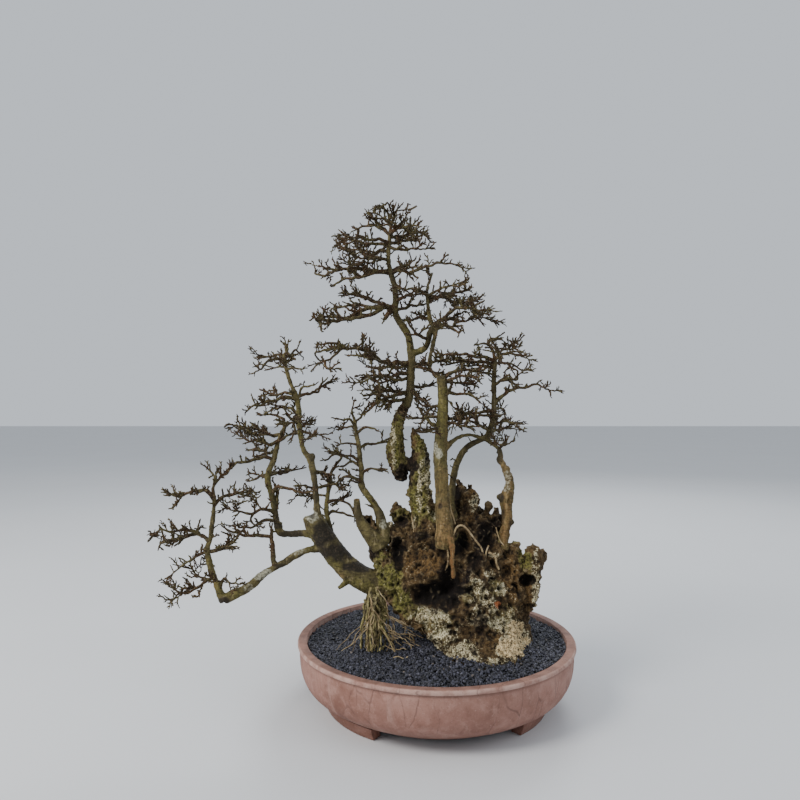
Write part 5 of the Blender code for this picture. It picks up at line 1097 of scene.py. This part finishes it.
branch_lines, twig_lines = [], []
bare = {"cascade_stem": 0.1, "elbow_right_stem": 0.1}     # stretches with hardly a twig
for name in BRANCHES:
    path = knotted(smooth_path(name, 0.0035), 0.0026)
    branch_lines.append([(spot, radius * (0.95 - 0.2 * number / len(path)))
                         for number, (spot, radius) in enumerate(path)])
    whole = len(path) - 1
    far_left, left, low_left = (paths[name][0][0] < across for across in (-320, -190, -95))
    richness = bare.get(name, 1.0 if far_left else 0.5 if left else 0.4 if low_left else 0.75)
    since = 0.0
    hand = random.choice((-1, 1))
    for number in range(1, whole + 1):
        spot, radius = path[number]
        ahead = (path[number][0] - path[number - 1][0])
        since += ahead.length
        ahead.normalize()
        share = number / whole
        if share < 0.16 or since < random.uniform(0.0028, 0.0060):
            continue
        since = 0.0
        if random.random() > richness:
            continue
        hand = -hand
        across = ahead.cross(UP).normalized()
        kind = random.random()
        if kind < 0.45:         # a shoot to the front or back that carries its own twigs
            heading = (ahead * random.uniform(0.2, 1.0) + across * hand * random.uniform(0.6, 1.3)
                       + UP * random.uniform(-0.25, 0.45)).normalized()
            length, thick, forks = random.uniform(0.016, 0.042), max(0.00125, min(0.0018, radius * 0.66)), 2
        elif kind < 0.55:       # a small spur under the branch
            heading = (ahead * random.uniform(0.0, 0.8) + across * hand * 0.4
                       - UP * random.uniform(0.4, 0.9)).normalized()
            length, thick, forks = random.uniform(0.005, 0.012), 0.0012, 1
        else:                   # a twig that stands up from the branch
            heading = (ahead * random.uniform(-0.3, 0.9) + across * hand * random.uniform(0.0, 0.6)
                       + UP * random.uniform(0.4, 1.1)).normalized()
            length, thick = random.uniform(0.008, 0.019), max(0.0012, min(0.0017, radius * 0.6))
            forks = random.choice((1, 1, 2))
        twig(twig_lines, spot, heading, length, thick, forks)
    ahead = (path[-1][0] - path[-3][0]).normalized()
    for number in range(2):
        off = Vector((random.gauss(0, 0.3), random.gauss(0, 0.45), random.gauss(0.15, 0.4)))
        heading = (ahead + off).normalized()
        twig(twig_lines, path[-1][0], heading, random.uniform(0.008, 0.015), 0.0013, 1)

# short shoots straight from the thin stems
SPUR_STEPS = {"left_leader_top": 0.012, "cascade_riser": 0.016, "left_elbow": 0.016, "small_tree": 0.010,
              "inner_left": 0.016, "main_leader": 0.011, "right_arch": 0.013, "apex_right": 0.013,
              "apex_stem": 0.008}
for name, step in SPUR_STEPS.items():
    since = 0.0
    path = smooth_path(name, 0.003)
    for number in range(len(path) // 5, len(path)):
        spot, radius = path[number]
        since += 0.003
        if since > step * random.uniform(0.6, 1.4):
            since = 0.0
            turn = random.uniform(0, 2 * pi)
            heading = Vector((cos(turn), sin(turn), random.uniform(0.1, 0.9))).normalized()
            twig(twig_lines, spot + heading * radius * 0.6, heading, random.uniform(0.009, 0.020), 0.00135,
                 random.choice((0, 1, 2)))

dark_bark, shader, at = start_finish("twig_bark")
mottle = grain(at, 60, 4, 0.6)
crumb = grain(at, 420, 3, 0.6)
color = blend(painted(at, "tone"), (0.013, 0.0085, 0.0045), (0.058, 0.037, 0.016))
color = blend(ramp(mottle, 0.50, 0.64) * 0.55, color, (0.085, 0.036, 0.013))
color = blend(ramp(mottle, 0.50, 0.38) * 0.85, color, (0.082, 0.068, 0.024))
color = blend(ramp(crumb, 0.54, 0.66) * 0.7, color, (0.21, 0.17, 0.085))
color = blend(ramp(crumb, 0.44, 0.36) * 0.6, color, (0.009, 0.006, 0.004))
end_finish(shader, color, 0.80 + crumb * 0.1, crumb, 0.0004, shine=0.25)


def bunch(name, lines, sides, mat):
    """One piece from many bars, each with its own tone."""
    bm = tubes(lines, sides)
    layer = bm.verts.layers.float.new("tone")
    for vert in bm.verts:
        vert[layer] = 0.5 + 0.5 * noise.noise(vert.co * 130)
    bmesh.ops.recalc_face_normals(bm, faces=bm.faces)
    piece(name, bm, mat, "bark", "tree")


bunch("branches", branch_lines, 8, dark_bark)
SHARE = 2600        # twigs in one piece
for start in range(0, len(twig_lines), SHARE):
    bunch("twigs_%d" % (start // SHARE + 1), twig_lines[start:start + SHARE], 4, dark_bark)

# ---- Roots -----------------------------------------------------------------------------------------
# Old air roots hang in a bundle from the left shoulder down into the grit, with thin pale rootlets
# over them, over the stump's hollow and on the grit.
# name: (depth of the foot, depth of the tip, radius at the foot, radius at the tip, [(across, up), ...]), in mm
ROOTS = {
    "hanging_root_1": (-40, -62, 7, 3, [(-102, 180), (-106, 157), (-109, 134), (-112, 110), (-113, 86),
        (-113, 62)]),
    "hanging_root_2": (-45, -68, 6, 3, [(-96, 176), (-98, 152), (-100, 130), (-102, 106), (-104, 82),
        (-104, 58)]),
    "hanging_root_3": (-50, -72, 6, 3, [(-90, 172), (-91, 150), (-91, 128), (-93, 106), (-95, 82),
        (-95, 56)]),
    "hanging_root_4": (-35, -50, 5, 2.5, [(-107, 184), (-114, 162), (-118, 140), (-121, 118), (-123, 96),
        (-123, 70)]),
    "hanging_root_5": (-52, -60, 5, 2.5, [(-84, 168), (-84, 148), (-83, 130), (-84, 110), (-86, 88),
        (-86, 66)]),
    "back_root": (-5, 0, 14, 11, [(-92, 185), (-104, 160), (-106, 135), (-100, 110), (-96, 80)]),
}
for name, (foot, tip, start, end, points) in ROOTS.items():
    lay_out(name, foot, tip, tapered(points, start, end))
THICK_ROOTLETS, THIN_ROOTLETS, HAIR_ROOTS = 12, 14, 34
random.seed(31)
clump = tubes([knotted(smooth_path(name, 0.004), 0.004) for name in ROOTS], 12)
clump = remeshed(clump, ROOT_GRID)
for vert in clump.verts:
    vert.co += vert.normal * (noise.turbulence(vert.co * 130, 3, False) - 0.6) * 0.005
rootlets, fine_roots = [], []
for strand in range(THICK_ROOTLETS + THIN_ROOTLETS):
    thin = strand >= THICK_ROOTLETS
    x, z = random.uniform(-110, -92), random.uniform(160, 184) - 50 * thin * random.random()
    y = random.uniform(-74, -54)
    sway, lean = (x + 100) * 0.012, random.uniform(-0.12, 0.10)
    radius = random.uniform(0.6, 1.0) if thin else random.uniform(1.7, 2.9)
    points = []
    while z > 68 + random.uniform(0, 12):
        points.append((place(x, z, y), radius * random.uniform(0.85, 1.2) / 1000))
        sway += random.gauss(0, 0.12 + 0.12 * thin) - sway * 0.1
        lean += random.gauss(0, 0.12) - lean * 0.1
        x, y, z = x + sway * 4, y + lean * 4, z - random.uniform(3, 4.5)
        radius *= 0.975
    if len(points) > 3:
        (fine_roots if thin else rootlets).append(points)
for strand in range(HAIR_ROOTS):       # a haze of hair roots between the clump and the stump
    x, z, y = random.uniform(-86, -36), random.uniform(84, 136), random.uniform(-92, -62)
    turn, points = random.uniform(-0.9, 0.9), []
    for step in range(random.randint(4, 9)):
        points.append((place(x, z, y), 0.00055))
        x += 3.6 * cos(turn)
        z -= 1.2 + 3.0 * sin(abs(turn)) * random.random()
        turn += random.gauss(0, 0.35)
        if z < 74:
            break
    if len(points) > 3:
        fine_roots.append(points)
# single pale roots: depth of the foot, depth of the tip, radius, [(across, up), ...]
THREADS = [
    (-66, -62, 1.7, [(26, 260), (31, 272), (36, 281), (44, 283), (52, 277), (60, 267), (68, 256), (75, 247),
        (78, 238), (79, 228)]),
    (-66, -62, 1.8, [(88, 238), (94, 236), (99, 230), (101, 219), (105, 210)]),
    (-72, -74, 1.5, [(19, 246), (21, 232), (20, 218), (15, 209)]),
    (-46, -46, 1.1, [(-77, 88), (-79, 97), (-76, 102), (-66, 103), (-54, 103), (-44, 102), (-38, 97),
        (-33, 88)]),
    (-79, -79, 0.9, [(-66, 78), (-60, 77), (-54, 80), (-47, 76)]),
    (-107, -105, 0.9, [(-70, 64), (-62, 66), (-52, 62), (-46, 66)]),
    (-30, -36, 1.2, [(-40, 300), (-38, 288), (-36, 276), (-38, 266)]),
    (-62, -64, 1.3, [(88, 250), (84, 240), (83, 230)]),
    (-32, -40, 1.0, [(100, 280), (103, 268), (107, 258), (113, 250)]),
    (-56, -50, 0.8, [(-72, 132), (-70, 118), (-73, 108), (-72, 98)]),
    (-28, -34, 1.4, [(20, 350), (22, 330), (24, 312), (29, 298), (33, 284)]),
    (-52, -42, 0.8, [(-118, 96), (-110, 92), (-102, 95), (-92, 90)])]
for foot, tip, radius, points in THREADS:
    lay_out("thread", foot, tip, [(x, z, radius) for x, z in points])
    fine_roots.append(smooth_path("thread", 0.003))

root_bark, shader, at = start_finish("root_bark")
mottle = grain(at, 90, 4, 0.6)
crumb = grain(at, 320, 4, 0.65, (1, 1, 0.4))
color = blend(ramp(mottle, 0.38, 0.62), (0.046, 0.032, 0.012), (0.240, 0.200, 0.066))
color = blend(ramp(crumb, 0.50, 0.64) * 0.8, color, (0.48, 0.41, 0.20))
color = blend(ramp(crumb, 0.46, 0.36) * 0.8, color, (0.016, 0.010, 0.006))
end_finish(shader, color, 0.88 + crumb * 0.05, crumb + mottle, 0.002)
piece("root_clump", clump, root_bark, "bark", "tree")
bunch("hanging_roots", rootlets, 10, root_bark)
hair_root, shader, at = start_finish("fine_root")
crumb = grain(at, 150, 3, 0.6)
tone = painted(at, "tone")
color = blend(ramp(crumb, 0.36, 0.62), (0.110, 0.068, 0.030), (0.38, 0.28, 0.140))
color = blend(ramp(tone, 0.55, 0.85) * 0.8, color, (0.50, 0.40, 0.25))
end_finish(shader, color, 0.75 + crumb * 0.1, crumb, 0.0004)
bunch("fine_roots", fine_roots, 6, hair_root)


# ---- Floor, light and camera -----------------------------------------------------------------------
# A pale seamless floor, an even sky and broad soft lamps.
floor_mat, shader, at = start_finish("floor")
tint = grain(at, 2, 2)
end_finish(shader, blend(tint, (0.58, 0.59, 0.60), (0.62, 0.63, 0.64)), 0.88 + tint * 0.05, tint, 0.0)
bm = bmesh.new()
bmesh.ops.create_grid(bm, x_segments=1, y_segments=1, size=12.0)
bmesh.ops.translate(bm, vec=(0, 0, -0.0004), verts=bm.verts)
floor = add_mesh("floor", bm)
floor.data.materials.append(floor_mat)

world = bpy.data.worlds.new("sky")
world.use_nodes = True
light = world.node_tree.nodes["Background"].inputs
light["Color"].default_value, light["Strength"].default_value = (0.86, 0.92, 1.0, 1), 0.78
bpy.context.scene.world = world


def lamp(name, place, aim, size, power, color):
    data = bpy.data.lights.new(name, "AREA")
    data.shape = "DISK"
    data.size, data.energy, data.color = size, power, color
    obj = add(name, data)
    obj.location = place
    obj.rotation_euler = (Vector(aim) - Vector(place)).to_track_quat("-Z", "Y").to_euler()


lamp("key", (-2.1, -1.7, 2.5), (0.05, 0, 0.35), 1.3, 92, (1.0, 0.97, 0.93))
lamp("fill", (2.4, -1.2, 1.9), (0.05, 0, 0.35), 1.6, 18, (0.93, 0.96, 1.0))
lamp("side", (-2.7, -0.9, 1.35), (0.05, 0, 0.10), 1.4, 26, (1.0, 0.98, 0.96))
lamp("back", (0.9, 2.2, 2.2), (0.05, 0, 0.4), 1.4, 40, (0.95, 0.98, 1.0))

camera = add("camera", bpy.data.cameras.new("camera"))
camera.data.lens = 31.5
camera.data.sensor_width = 36
camera.location = (AXIS.x + EYE[0] / 1000, AXIS.y + EYE[1] / 1000, EYE[2] / 1000)
camera.rotation_euler = (radians(90), 0, 0)
bpy.context.scene.camera = camera
